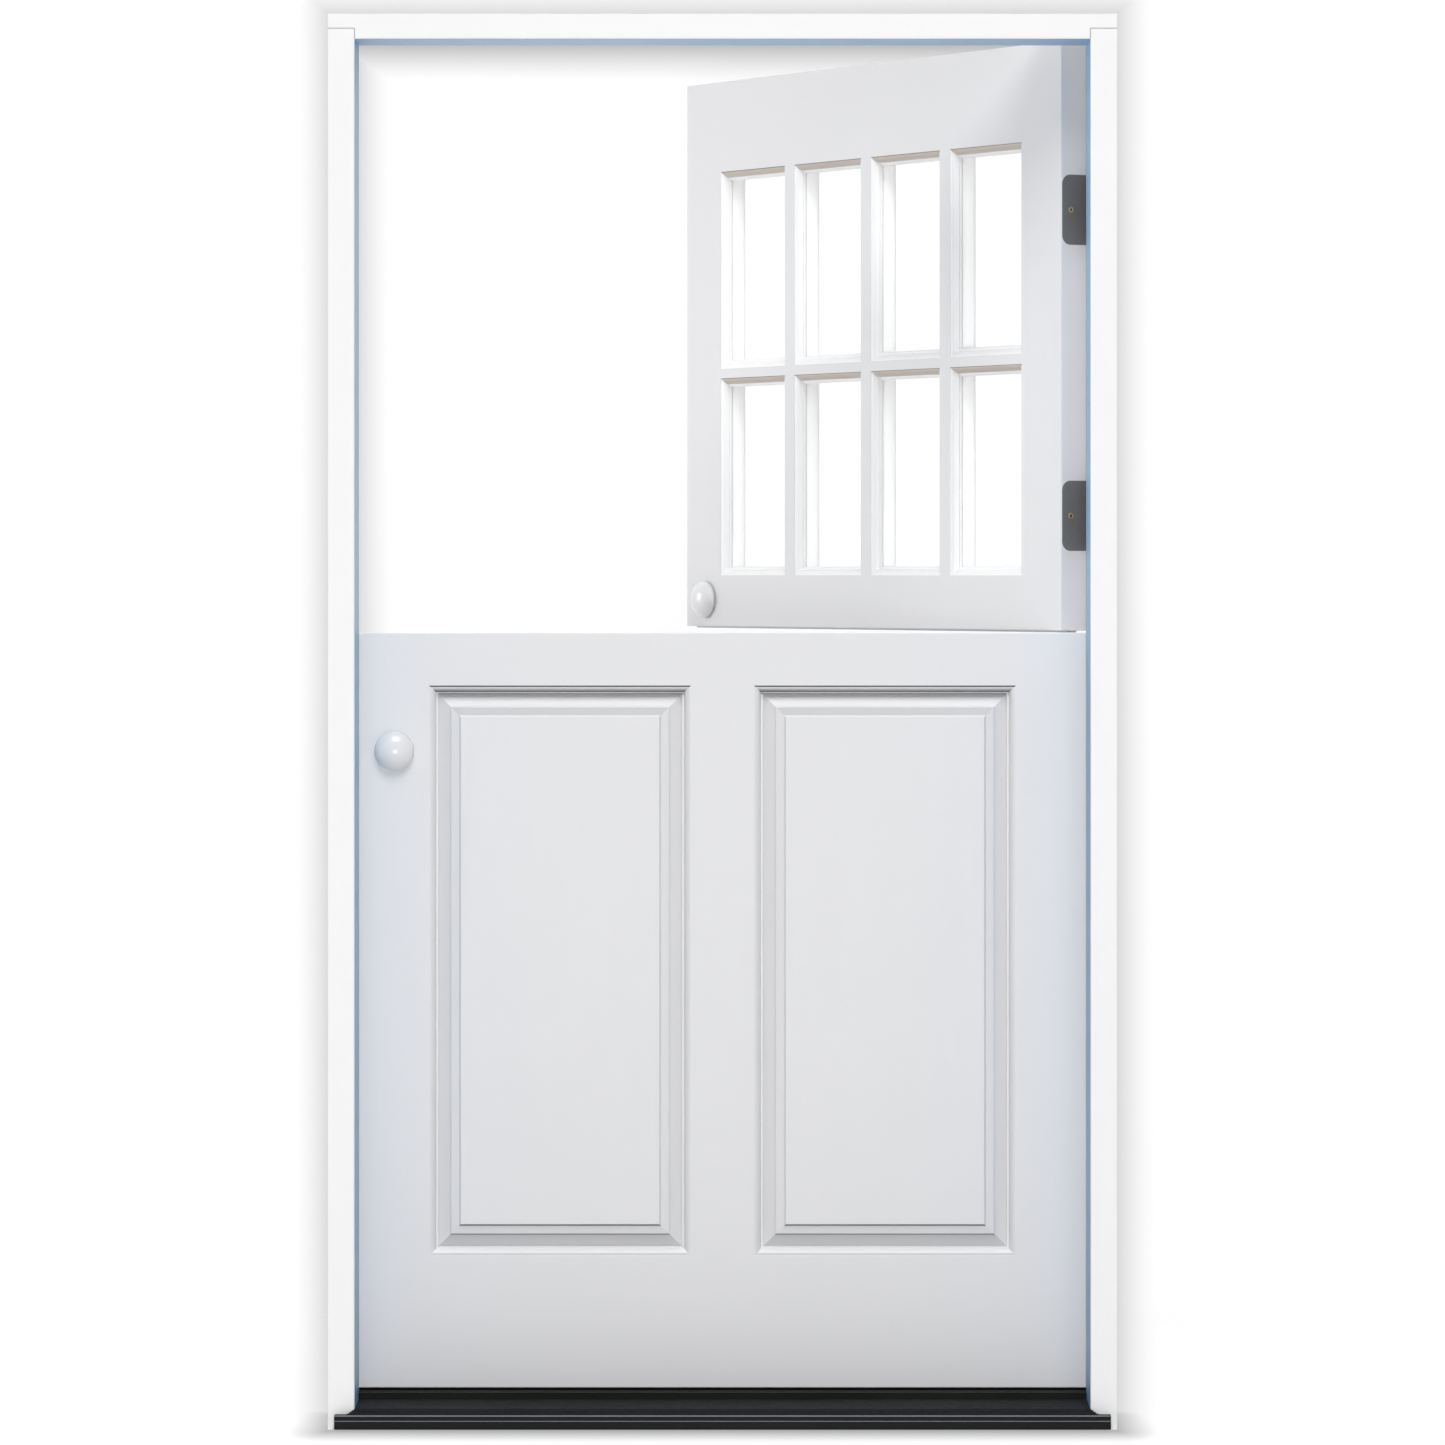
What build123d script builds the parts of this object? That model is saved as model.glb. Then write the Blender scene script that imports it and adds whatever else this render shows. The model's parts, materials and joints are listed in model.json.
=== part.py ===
from build123d import *
import os
from math import cos, radians, sin

os.makedirs("parts", exist_ok=True)

# Dutch stable door in its frame. Millimetres, +Z up. X runs along the door, with the hinges on +X.
# The outside is towards -Y, and both leaves swing inwards, towards +Y.
# The origin is on the floor, in the middle of the frame's width and depth.

# Leaves
leaf_w = 1066.8
leaf_t = 44.45
lower_h = 1088.3
upper_h = 853.2
open_angle = 59.2  # how far the upper leaf stands open

# Gaps round the leaves
side_gap = 3.0
head_gap = 3.0
meeting_gap = 3.0
leaf_base = 45.0  # floor to the underside of the lower leaf

# Frame
jamb_depth = 166.7
jamb_t = 38.1
head_t = 36.2
stop_d = 12.7  # how far the stop stands in from the rabbet
seal_room = 6.35  # from the stop to a shut leaf
head_housing = 2.9  # how far the jamb tops are let into the head
kerf_w = 3.0
kerf_d = 9.5
kerf_inset = 4.0
strip_w = 10.0
strip_relief = 0.35
edge_ease = 1.5

# Sill
nose_out = 20.0  # how far the sill stands out in front of the jambs
nose_top = 22.2
nose_drip = 2.3
horn_inset = 9.8  # the nose stops this far short of the frame's outer face
apron_flare = 13.3
tread_front = 29.5
tread_back = 31.0
tread_t = 2.0
riser_ahead = 20.0  # the riser's face, in front of the lower leaf
cap_h = 14.0
cap_top_gap = 2.8
rib_pitch = 5.0
rib_h = 0.7
rib_w = 1.6
sill_relief = 0.25

# Leaves' own edges
leaf_ease = 1.2

# Lower leaf
lower_stile = 110.4
lower_top_rail_h = 75.7
lower_bottom_rail_h = 190.1
mullion_w = 91.0
panel_stick = 12.7
panel_ovolo = 10.0
quirk = 1.2
groove_w = 10.3
groove_d = 12.0
tongue_play = 2.0
groove_play = 0.3

# Raised panel, from its flat field outwards: insets from the stick and depths under the face
field_depth = 1.5
field_step = 3.0
slope_top_depth = 4.6
slope_w = 11.0
slope_foot_depth = 6.4
bevel_step = 2.2
bevel_top_depth = 8.6
bevel_w = 17.0

# Upper leaf
upper_stile = 104.5
upper_top_rail_h = 141.2
upper_bottom_rail_h = 80.0
lite_rows = 2
lite_columns = 4
upright_bar_w = 28.0
cross_bar_w = 15.0
bar_over = 5.0  # an upright bar is this much long at each end before it is coped to the rails
lite_stick = 12.0
lite_ovolo = 9.0
glass_depth = 12.5
glass_t = 4.8
glass_bed = 0.3
glass_play = 1.5

# Joinery
tenon_l = 25.0
tenon_shoulder = 14.0
tenon_play = 0.15

# Hinges
hinge_h = 101.6
hinge_plate = 2.5
pin_out = 7.0  # pin centre beyond the inside faces of the leaves
knuckle_r = 6.35
knuckle_gap = 0.3
knuckles = 5
pin_r = 3.0
pin_play = 0.05
pin_head_r = 4.6
pin_head_h = 2.6
pin_head_taper = 18
hinge_corner = 14.0
upper_hinge_from_top = 244.0
upper_hinge_from_base = 166.3
lower_hinge_from_top = 170.0
lower_hinge_from_base = 215.0
screw_line_out = 16.9  # middle screw, from the outside face
screw_column_out = 10.0
screw_column_in = 31.0
screw_row_high = 38.0
screw_row_low = 20.0

# Wood screws
screw_head_r = 3.9
screw_r = 1.9
screw_cone = 2.0
screw_l = 22.0
slot_w = 1.0
slot_d = 0.7
frame_screw_head_r = 4.8
frame_screw_r = 2.5
frame_screw_cone = 2.4
frame_screw_l = 64.0

# Latches and knobs
backset = 60.3
upper_knob_up = 42.0  # above the upper leaf's underside
lower_knob_down = 170.0  # below the lower leaf's top
knob_r = 28.8
knob_dome = 18.0
knob_stand = 2.5
knob_rim = 1.6
knob_neck_r = 15.0
knob_face_gap = 0.4
spindle_side = 7.6
socket_r = 5.4
spindle_bore_r = 6.2
case_r = 11.0
case_over = 12.0
faceplate_h = 57.15
faceplate_w = 25.4
faceplate_t = 2.4
bolt_h = 14.0
bolt_w = 12.0
bolt_out = 11.0
bolt_in = 40.0
bolt_play = 0.25
bolt_bevel = 8.0
faceplate_screw_row = 22.0
strike_t = 1.6
strike_h = 70.0
strike_window_play = 1.5
pocket_play = 2.0
pocket_d = 13.0
strike_screw_row = 26.0

# Bolt that joins the leaves, on the inside
joiner_from_edge = 175.0
joiner_plate_w = 30.0
joiner_plate_t = 2.5
joiner_rod_r = 5.0
joiner_rod_out = 9.0
joiner_bore_play = 0.06
joiner_guide_h = 14.0
joiner_guide_w = 18.0
joiner_guide_top = 16.0
joiner_travel = 22.0
joiner_lift = 3.0
joiner_plate_h = 60.0
joiner_grip_r = 4.0
joiner_grip_l = 16.0
joiner_grip_gap = 1.0  # from the raised grip to the upper guide
joiner_screw_edge = 1.0
keeper_h = 26.0
keeper_bore_play = 0.6
keeper_drop = 2.0
joiner_screw_l = 14.0

# Seals at the leaves' edges
seal_w = 12.0
seal_kerf_w = 3.0
seal_kerf_d = 8.0
seal_relief = 0.4

# Places worked out from the sizes above
y_out = -jamb_depth / 2
y_in = jamb_depth / 2
y_face = y_in - leaf_t
y_stop = y_face - seal_room
half_leaf = leaf_w / 2
half_rabbet = half_leaf + side_gap
half_stop = half_rabbet - stop_d
half_frame = half_stop + jamb_t
z_lower = leaf_base
z_lower_top = z_lower + lower_h
z_upper = z_lower_top + meeting_gap
z_upper_top = z_upper + upper_h
z_head_rabbet = z_upper_top + head_gap
z_head_stop = z_head_rabbet - stop_d
z_jamb_top = z_head_rabbet + head_housing
frame_h = z_head_stop + head_t
pin_x = half_leaf + side_gap / 2
pin_y = y_in + pin_out
hinge_axis = Axis((pin_x, pin_y, 0), (0, 0, 1))
y_latch = y_in - leaf_t / 2
knob_x = -half_leaf + backset
z_upper_knob = z_upper + upper_knob_up
z_lower_knob = z_lower_top - lower_knob_down
upper_hinges = [z_upper_top - upper_hinge_from_top, z_upper + upper_hinge_from_base]
lower_hinges = [z_lower_top - lower_hinge_from_top, z_lower + lower_hinge_from_base]
along_y = (0, 1, 0)


def keep(piece, name, swing=0.0):
    """Turn a finished piece about the hinge pins, label it and write it."""
    if swing:
        piece.part = piece.part.rotate(hinge_axis, -swing)
    piece.part.label = name
    export_step(piece.part, f"parts/{name}.step")


def across(origin, u_dir):
    """A section plane whose u is the given direction and whose v runs inwards, along +Y."""
    normal = Vector(*u_dir).cross(Vector(*along_y))
    return Plane(origin=origin, x_dir=u_dir, z_dir=normal)


def box_between(low, high, mode=Mode.ADD):
    """A box given by two opposite corners."""
    size = [b - a for a, b in zip(low, high)]
    middle = [(a + b) / 2 for a, b in zip(low, high)]
    with Locations(tuple(middle)):
        Box(*size, mode=mode)


# Screws

def screw_shape(head_r, shank_r, cone, length, slotted):
    """A countersunk screw with its head at the origin and its shank down -Z."""
    with BuildPart() as screw:
        with BuildSketch(Plane.XZ):
            Polygon((0, 0), (head_r, 0), (shank_r, -cone), (shank_r, -length + shank_r), (0, -length),
                    align=None)
        revolve(axis=Axis.Z)
        if slotted:
            box_between((-head_r, -slot_w / 2, -slot_d), (head_r, slot_w / 2, 0), Mode.SUBTRACT)
    return screw.part


wood_screw = screw_shape(screw_head_r, screw_r, screw_cone, screw_l, True)
wood_screw_hole = screw_shape(screw_head_r, screw_r, screw_cone, screw_l, False)
small_screw = screw_shape(screw_head_r, screw_r, screw_cone, joiner_screw_l, True)
small_screw_hole = screw_shape(screw_head_r, screw_r, screw_cone, joiner_screw_l, False)
frame_screw = screw_shape(frame_screw_head_r, frame_screw_r, frame_screw_cone, frame_screw_l, True)
frame_screw_hole = screw_shape(frame_screw_head_r, frame_screw_r, frame_screw_cone, frame_screw_l, False)


def facing(x, y, z, direction):
    """Where a screw head at (x, y, z) lies flush and looks along direction."""
    return Plane(origin=(x, y, z), z_dir=direction).location


def put(shape, places, mode=Mode.ADD):
    """Place one shape at every listed location."""
    for place in places:
        with Locations(place):
            add(shape, mode=mode)


def hinge_screw_places(x, z_list, direction):
    """Five screws in each hinge plate: one in the middle and two pairs above and below it."""
    spots = [(screw_line_out, 0.0)]
    for sign in (-1, 1):
        spots.append((screw_column_out, sign * screw_row_high))
        spots.append((screw_column_in, sign * screw_row_low))
    return [facing(x, y_face + out, z + up, direction) for z in z_list for out, up in spots]


jamb_hinge_screw_places = hinge_screw_places(half_rabbet, upper_hinges + lower_hinges, (-1, 0, 0))
upper_hinge_screw_places = hinge_screw_places(half_leaf, upper_hinges, (1, 0, 0))
lower_hinge_screw_places = hinge_screw_places(half_leaf, lower_hinges, (1, 0, 0))
strike_screw_places = [
    facing(-half_rabbet, y_latch, z + sign * strike_screw_row, (1, 0, 0))
    for z in (z_upper_knob, z_lower_knob)
    for sign in (-1, 1)
]
sill_screw_places = [
    facing(side * half_frame, y, nose_top / 2, (side, 0, 0)) for side in (-1, 1) for y in (y_out / 2, y_in / 2)
]
head_screw_places = [
    facing(side * (half_frame - jamb_t / 3), y, frame_h, (0, 0, 1))
    for side in (-1, 1)
    for y in (y_out / 2, y_in / 2)
]


# Hinges

def plate_outline(x_low, x_high, z):
    """A hinge plate or its mortise: it runs out to the eased outer arris, with two rounded corners there."""
    with BuildPart() as plate:
        box_between((x_low, y_face + leaf_ease, z - hinge_h / 2), (x_high, y_in, z + hinge_h / 2))
        outer = plate.faces().sort_by(Axis.Y)[0].edges().filter_by(Axis.X)
        fillet(outer, hinge_corner)
    return plate.part


def knuckle_spans(z, mine):
    """The heights of the knuckles that belong to the jamb plate (even) or the leaf plate (odd)."""
    pitch = hinge_h / knuckles
    spans = []
    for n in range(knuckles):
        if n % 2 == mine:
            low = z - hinge_h / 2 + n * pitch
            spans.append((low + knuckle_gap / 2, low + pitch - knuckle_gap / 2))
    return spans


def hinge_plate_part(side, z, mine, screws):
    """One half of a butt hinge: a plate let in flush, with knuckles rolled round the pin."""
    near = pin_x + side * side_gap / 2
    far = near + side * hinge_plate
    low, high = min(near, far), max(near, far)
    with BuildPart() as half:
        add(plate_outline(low, high, z))
        for bottom, top in knuckle_spans(z, mine):
            box_between((low, y_in - hinge_plate, bottom), (high, pin_y, top))
            with BuildSketch(Plane.XY.offset(bottom)):
                with Locations((pin_x, pin_y)):
                    Circle(knuckle_r)
            extrude(amount=top - bottom)
        with BuildSketch(Plane.XY.offset(z - hinge_h / 2)):
            with Locations((pin_x, pin_y)):
                Circle(pin_r + pin_play)
        extrude(amount=hinge_h, mode=Mode.SUBTRACT)
        put(wood_screw_hole, screws, Mode.SUBTRACT)
    return half


hinge_names = {"upper_top": upper_hinges[0], "upper_bottom": upper_hinges[1],
               "lower_top": lower_hinges[0], "lower_bottom": lower_hinges[1]}
for hinge_name, hinge_z in hinge_names.items():
    jamb_side = hinge_plate_part(1, hinge_z, 0, hinge_screw_places(half_rabbet, [hinge_z], (-1, 0, 0)))
    keep(jamb_side, f"{hinge_name}_hinge_jamb_plate")
    leaf_side = hinge_plate_part(-1, hinge_z, 1, hinge_screw_places(half_leaf, [hinge_z], (1, 0, 0)))
    keep(leaf_side, f"{hinge_name}_hinge_leaf_plate", open_angle if hinge_z in upper_hinges else 0.0)

with BuildPart() as hinge_pins:
    for hinge_z in hinge_names.values():
        with BuildSketch(Plane.XY.offset(hinge_z - hinge_h / 2)):
            with Locations((pin_x, pin_y)):
                Circle(pin_r)
        extrude(amount=hinge_h)
        for end, direction in ((hinge_z + hinge_h / 2, 1), (hinge_z - hinge_h / 2, -1)):
            with BuildSketch(Plane.XY.offset(end)):
                with Locations((pin_x, pin_y)):
                    Circle(pin_head_r)
            extrude(amount=direction * pin_head_h, taper=pin_head_taper)
keep(hinge_pins, "hinge_pins")

hinge_mortises_jamb = [
    plate_outline(half_rabbet, half_rabbet + hinge_plate, z) for z in upper_hinges + lower_hinges
]


# Frame: head, jambs and their seals

def jamb_section(side):
    """Side jamb in plan: a thick stop outside, a rabbet inside, and a kerf for the seal."""
    points = [(half_frame, y_out), (half_stop + edge_ease, y_out), (half_stop, y_out + edge_ease),
              (half_stop, y_stop), (half_rabbet - kerf_inset - kerf_w, y_stop),
              (half_rabbet - kerf_inset - kerf_w, y_stop - kerf_d), (half_rabbet - kerf_inset, y_stop - kerf_d),
              (half_rabbet - kerf_inset, y_stop), (half_rabbet, y_stop), (half_rabbet, y_in), (half_frame, y_in)]
    Polygon(*[(side * x, y) for x, y in points], align=None)


with BuildPart() as hinge_jamb:
    with BuildSketch(Plane.XY):
        jamb_section(1)
    extrude(amount=z_jamb_top)
    for mortise in hinge_mortises_jamb:
        add(mortise, mode=Mode.SUBTRACT)
    put(wood_screw_hole, jamb_hinge_screw_places, Mode.SUBTRACT)
    put(frame_screw_hole, sill_screw_places[2:] + head_screw_places[2:], Mode.SUBTRACT)
keep(hinge_jamb, "hinge_jamb")


def strike_shape(z):
    """Strike plate, or its mortise: a flat plate flush with the rabbet, round the bolt's window."""
    with BuildPart() as plate:
        box_between((-half_rabbet - strike_t, y_latch - faceplate_w / 2, z - strike_h / 2),
                    (-half_rabbet, y_in, z + strike_h / 2))
        fillet(plate.faces().sort_by(Axis.Y)[0].edges().filter_by(Axis.X), faceplate_w / 8)
    return plate.part


with BuildPart() as strike_jamb:
    with BuildSketch(Plane.XY):
        jamb_section(-1)
    extrude(amount=z_jamb_top)
    for latch_z in (z_upper_knob, z_lower_knob):
        add(strike_shape(latch_z), mode=Mode.SUBTRACT)
        reach_y = bolt_w / 2 + pocket_play
        reach_z = bolt_h / 2 + pocket_play
        box_between((-half_rabbet - pocket_d, y_latch - reach_y, latch_z - reach_z),
                    (-half_rabbet, y_latch + reach_y, latch_z + reach_z), Mode.SUBTRACT)
    put(wood_screw_hole, strike_screw_places, Mode.SUBTRACT)
    put(frame_screw_hole, sill_screw_places[:2] + head_screw_places[:2], Mode.SUBTRACT)
keep(strike_jamb, "strike_jamb")

with BuildPart() as strike_plates:
    for latch_z in (z_upper_knob, z_lower_knob):
        add(strike_shape(latch_z))
        reach_y = bolt_w / 2 + strike_window_play
        reach_z = bolt_h / 2 + strike_window_play
        box_between((-half_rabbet - strike_t, y_latch - reach_y, latch_z - reach_z),
                    (-half_rabbet, y_latch + reach_y, latch_z + reach_z), Mode.SUBTRACT)
    put(wood_screw_hole, strike_screw_places, Mode.SUBTRACT)
keep(strike_plates, "strike_plates")

with BuildPart() as head_jamb:
    box_between((-half_frame, y_out, z_head_stop), (half_frame, y_in, frame_h))
    front_edge = head_jamb.edges().filter_by(Axis.X).group_by(Axis.Z)[0].sort_by(Axis.Y)[0]
    chamfer(front_edge, edge_ease)
    box_between((-half_rabbet, y_stop, z_head_stop), (half_rabbet, y_in, z_head_rabbet), Mode.SUBTRACT)
    z_kerf = z_head_rabbet - kerf_inset
    box_between((-half_rabbet, y_stop - kerf_d, z_kerf - kerf_w), (half_rabbet, y_stop, z_kerf), Mode.SUBTRACT)
    for side in (-1, 1):
        with BuildSketch(Plane.XY.offset(z_head_stop)):
            jamb_section(side)
            with Locations((side * (half_frame + half_rabbet - kerf_inset - kerf_w) / 2, y_stop - kerf_d / 2)):
                Rectangle(half_frame - half_rabbet + kerf_inset + kerf_w, kerf_d)
        extrude(amount=z_jamb_top - z_head_stop, mode=Mode.SUBTRACT)
    put(frame_screw_hole, head_screw_places, Mode.SUBTRACT)
keep(head_jamb, "head_jamb")

with BuildPart() as frame_screws:
    put(frame_screw, sill_screw_places + head_screw_places)
keep(frame_screws, "frame_screws")

with BuildPart() as jamb_screws:
    put(wood_screw, jamb_hinge_screw_places + strike_screw_places)
keep(jamb_screws, "jamb_screws")


def strip_section():
    """Seal section, u from the rabbet towards the opening: a soft bulb on a tongue pressed in the kerf."""
    bulb = y_face - strip_relief - y_stop
    with Locations((strip_w / 2 + strip_relief, bulb / 2)):
        RectangleRounded(strip_w, bulb, bulb / 3)
    with Locations((kerf_inset + kerf_w / 2, -kerf_d / 2 + strip_relief + bulb / 4)):
        Rectangle(kerf_w, kerf_d + bulb / 2)


strip_top = z_head_rabbet - strip_w - 2 * strip_relief
cap_top = leaf_base - cap_top_gap
for side, name in ((-1, "strike_side_seal"), (1, "hinge_side_seal")):
    with BuildPart() as side_seal:
        place = Plane(origin=(side * half_rabbet, y_stop, cap_top if side < 0 else strip_top),
                      x_dir=(-side, 0, 0), z_dir=(0, 0, -side))
        with BuildSketch(place):
            strip_section()
        extrude(amount=strip_top - cap_top)
    keep(side_seal, name)

with BuildPart() as head_seal:
    with BuildSketch(across((-half_rabbet + strip_relief, y_stop, z_head_rabbet), (0, 0, -1))):
        strip_section()
    extrude(amount=2 * (half_rabbet - strip_relief))
    for side in (-1, 1):
        x_far = side * half_rabbet
        x_near = side * (half_stop - strip_relief)
        box_between((min(x_far, x_near), y_stop - kerf_d, z_head_stop),
                    (max(x_far, x_near), y_stop, z_head_rabbet), Mode.SUBTRACT)
keep(head_seal, "head_seal")


# Sill: base, ribbed tread, and the cap under the leaf

cap_base = cap_top - cap_h
y_riser = y_face - riser_ahead
y_nose = y_out - nose_out
half_nose = half_frame - horn_inset


def sill_plan(z_low, z_high):
    """Keep only what lies in the sill's outline in plan: between the jambs, with horns in front of them."""
    stop_in = half_stop - sill_relief
    rabbet_in = half_rabbet - sill_relief
    y_front = y_out - sill_relief
    half = [(half_nose, y_nose), (half_nose, y_front), (stop_in, y_front), (stop_in, y_stop + sill_relief),
            (rabbet_in, y_stop + sill_relief), (rabbet_in, y_in)]
    with BuildSketch(Plane.XY.offset(z_low)) as outline:
        Polygon(*half, *[(-x, y) for x, y in reversed(half)], align=None)
    extrude(outline.sketch, amount=z_high - z_low, mode=Mode.INTERSECT)


def tread_line(y):
    """Height of the tread's top: nearly level between the jambs and steeper in front of them."""
    if y < y_out:
        return nose_top + (tread_front - nose_top) * (y - y_nose) / nose_out
    return tread_front + (tread_back - tread_front) * (y - y_out) / (y_riser - y_out)


def clear_above_horns(side, z_top):
    """Cut away what stands above a horn, outside the tread's flared end."""
    with BuildSketch(Plane.XY.offset(nose_top)) as horn:
        Polygon((side * (half_stop + apron_flare), y_nose), (side * half_nose, y_nose),
                (side * half_nose, y_out), (side * half_stop, y_out), align=None)
    extrude(horn.sketch, amount=z_top - nose_top, mode=Mode.SUBTRACT)


with BuildPart() as sill_base:
    with BuildSketch(across((half_nose, 0, 0), (0, 0, 1))):
        Polygon((0, y_out), (0, y_in), (cap_base, y_in), (cap_base, y_riser), (tread_back - tread_t, y_riser),
                (tread_front - tread_t, y_out), (nose_top - tread_t, y_nose + tread_t),
                (nose_drip, y_nose + tread_t), (nose_drip, y_out - tread_t), align=None)
    extrude(amount=2 * half_nose)
    sill_plan(0, cap_base)
    for side in (-1, 1):
        clear_above_horns(side, cap_base)
    put(frame_screw_hole, sill_screw_places, Mode.SUBTRACT)
keep(sill_base, "sill_base")

with BuildPart() as sill_tread:
    with BuildSketch(across((half_nose, 0, 0), (0, 0, 1))):
        Polygon((tread_back, y_riser), (tread_front, y_out), (nose_top, y_nose + edge_ease),
                (nose_top - edge_ease, y_nose), (nose_drip + tread_t, y_nose),
                (nose_drip + tread_t, y_nose + tread_t), (nose_top - tread_t, y_nose + tread_t),
                (tread_front - tread_t, y_out), (tread_back - tread_t, y_riser), align=None)
        ribs = int((y_riser - y_nose) / rib_pitch)
        for n in range(1, ribs):
            y = y_nose + n * rib_pitch
            with Locations((tread_line(y), y)):
                Rectangle(2 * rib_h, rib_w)
    extrude(amount=2 * half_nose)
    sill_plan(0, tread_back + rib_h)
    for side in (-1, 1):
        clear_above_horns(side, tread_back + 2 * rib_h)
keep(sill_tread, "sill_tread")

with BuildPart() as sill_cap:
    with BuildSketch(across((half_rabbet, 0, 0), (0, 0, 1))):
        with BuildLine():
            Polyline((cap_base, y_riser), (cap_base, y_in), (cap_top - cap_h / 2, y_in),
                     (cap_top, y_in - leaf_t / 2), (cap_top, y_riser + edge_ease),
                     (cap_top - edge_ease, y_riser), (cap_base, y_riser))
        make_face()
    extrude(amount=2 * half_rabbet)
    sill_plan(cap_base, cap_top)
keep(sill_cap, "sill_cap")


# Leaf joinery

def panel_edge(face):
    """Edge of a member beside a panel: ovolo on both faces and a groove between, from (face, 0)."""
    low = leaf_t / 2 - groove_w / 2
    flat = quirk + panel_ovolo
    Line((face, 0), (face, quirk))
    CenterArc((face, flat), panel_ovolo, -90, 90)
    Polyline((face + panel_ovolo, flat), (face + panel_stick, flat), (face + panel_stick, low),
             (face + panel_stick - groove_d, low), (face + panel_stick - groove_d, leaf_t - low),
             (face + panel_stick, leaf_t - low), (face + panel_stick, leaf_t - flat),
             (face + panel_ovolo, leaf_t - flat))
    CenterArc((face, leaf_t - flat), panel_ovolo, 0, 90)
    Line((face, leaf_t - quirk), (face, leaf_t))


def lite_edge(face):
    """Edge of a member beside a pane: ovolo outside and a rabbet for the glass and bead inside."""
    flat = quirk + lite_ovolo
    Line((face, 0), (face, quirk))
    CenterArc((face, flat), lite_ovolo, -90, 90)
    Polyline((face + lite_ovolo, flat), (face + lite_stick, flat), (face + lite_stick, glass_depth),
             (face, glass_depth), (face, leaf_t))


def member(place, length, face, edge):
    """A stile or rail: a square outer edge at u = 0, and a worked edge on its other side."""
    with BuildSketch(place) as section:
        with BuildLine():
            Polyline((face, 0), (0, 0), (0, leaf_t), (face, leaf_t))
            edge(face)
        make_face()
    extrude(section.sketch, amount=length)


def bar(place, length, width, edge):
    """A bar worked on both sides, centred on u = 0."""
    with BuildSketch(place) as section:
        with BuildLine():
            Polyline((width / 2, 0), (0, 0), (0, leaf_t), (width / 2, leaf_t))
            edge(width / 2)
        make_face()
        mirror(about=Plane.YZ)
    extrude(section.sketch, amount=length)


def eased_leaf(z_low, height):
    """The whole leaf as one block with eased arrises. Each stile and rail is kept within it."""
    with BuildPart() as block:
        box_between((-half_leaf, y_face, z_low), (half_leaf, y_in, z_low + height))
        chamfer(block.edges(), leaf_ease)
    return block.part


def tenons(stile, rail_low, rail_high, grow, mode):
    """Stub tenons at both ends of a rail, or the mortises for them where grow is more than 0."""
    low = rail_low + tenon_shoulder - grow
    high = rail_high - tenon_shoulder + grow
    thick = groove_w / 2 - groove_play / 2 + grow
    for side in (-1, 1):
        root = side * (half_leaf - stile - panel_stick)
        tip = side * (half_leaf - stile + tenon_l + grow)
        box_between((min(root, tip), y_latch - thick, low), (max(root, tip), y_latch + thick, high), mode)


def latch_cuts(z):
    """Bore for the latch case from the edge, faceplate mortise, and cross bore for the spindle."""
    add(latch_case_outline(z), mode=Mode.SUBTRACT)
    with BuildSketch(Plane.XZ.offset(-y_face)) as bore:
        with Locations((knob_x, z)):
            Circle(spindle_bore_r)
    extrude(bore.sketch, amount=-leaf_t, mode=Mode.SUBTRACT)


def latch_case_outline(z):
    """Outline of the latch: a round case behind a flush faceplate."""
    with BuildPart() as outline:
        with BuildSketch(Plane.YZ.offset(-half_leaf)):
            with Locations((y_latch, z)):
                RectangleRounded(faceplate_w, faceplate_h, faceplate_w / 8)
        extrude(amount=faceplate_t)
        with BuildSketch(Plane.YZ.offset(-half_leaf)):
            with Locations((y_latch, z)):
                Circle(case_r)
        extrude(amount=backset + case_over)
    return outline.part


def latch_stile(z_low, height, face, edge, knob_z, rails):
    """Stile on the opening side, with the latch let into its edge."""
    with BuildPart() as stile:
        member(across((-half_leaf, y_face, z_low + height), (1, 0, 0)), -height, face, edge)
        add(eased_leaf(z_low, height), mode=Mode.INTERSECT)
        for rail in rails:
            tenons(face, *rail, tenon_play, Mode.SUBTRACT)
        latch_cuts(knob_z)
        put(wood_screw_hole, faceplate_screws(knob_z), Mode.SUBTRACT)
    return stile


def hinge_stile(z_low, height, face, edge, hinges, screws, rails):
    """Stile on the hinge side, with the plates let in flush."""
    with BuildPart() as stile:
        member(across((half_leaf, y_face, z_low), (-1, 0, 0)), -height, face, edge)
        add(eased_leaf(z_low, height), mode=Mode.INTERSECT)
        for rail in rails:
            tenons(face, *rail, tenon_play, Mode.SUBTRACT)
        for z in hinges:
            add(plate_outline(half_leaf - hinge_plate, half_leaf, z), mode=Mode.SUBTRACT)
        put(wood_screw_hole, screws, Mode.SUBTRACT)
    return stile


def faceplate_screws(z):
    """Two screws that hold a latch's faceplate to the stile."""
    return [facing(-half_leaf, y_latch, z + sign * faceplate_screw_row, (-1, 0, 0)) for sign in (-1, 1)]


def rail_part(z_edge, direction, face, stile_face, stiles, edge, leaf_span):
    """A rail between the stiles' faces, coped over their edges, with its square edge at z_edge."""
    x_start = -half_leaf + stile_face if direction < 0 else half_leaf - stile_face
    low = z_edge if direction > 0 else z_edge - face
    with BuildPart() as rail:
        member(across((x_start, y_face, z_edge), (0, 0, direction)), leaf_w - 2 * stile_face, face, edge)
        for stile in stiles:
            add(stile.part, mode=Mode.SUBTRACT)
        add(eased_leaf(*leaf_span), mode=Mode.INTERSECT)
        tenons(stile_face, low, low + face, 0.0, Mode.ADD)
    return rail


# Lower leaf: two raised panels between stiles, rails and a mullion

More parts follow.
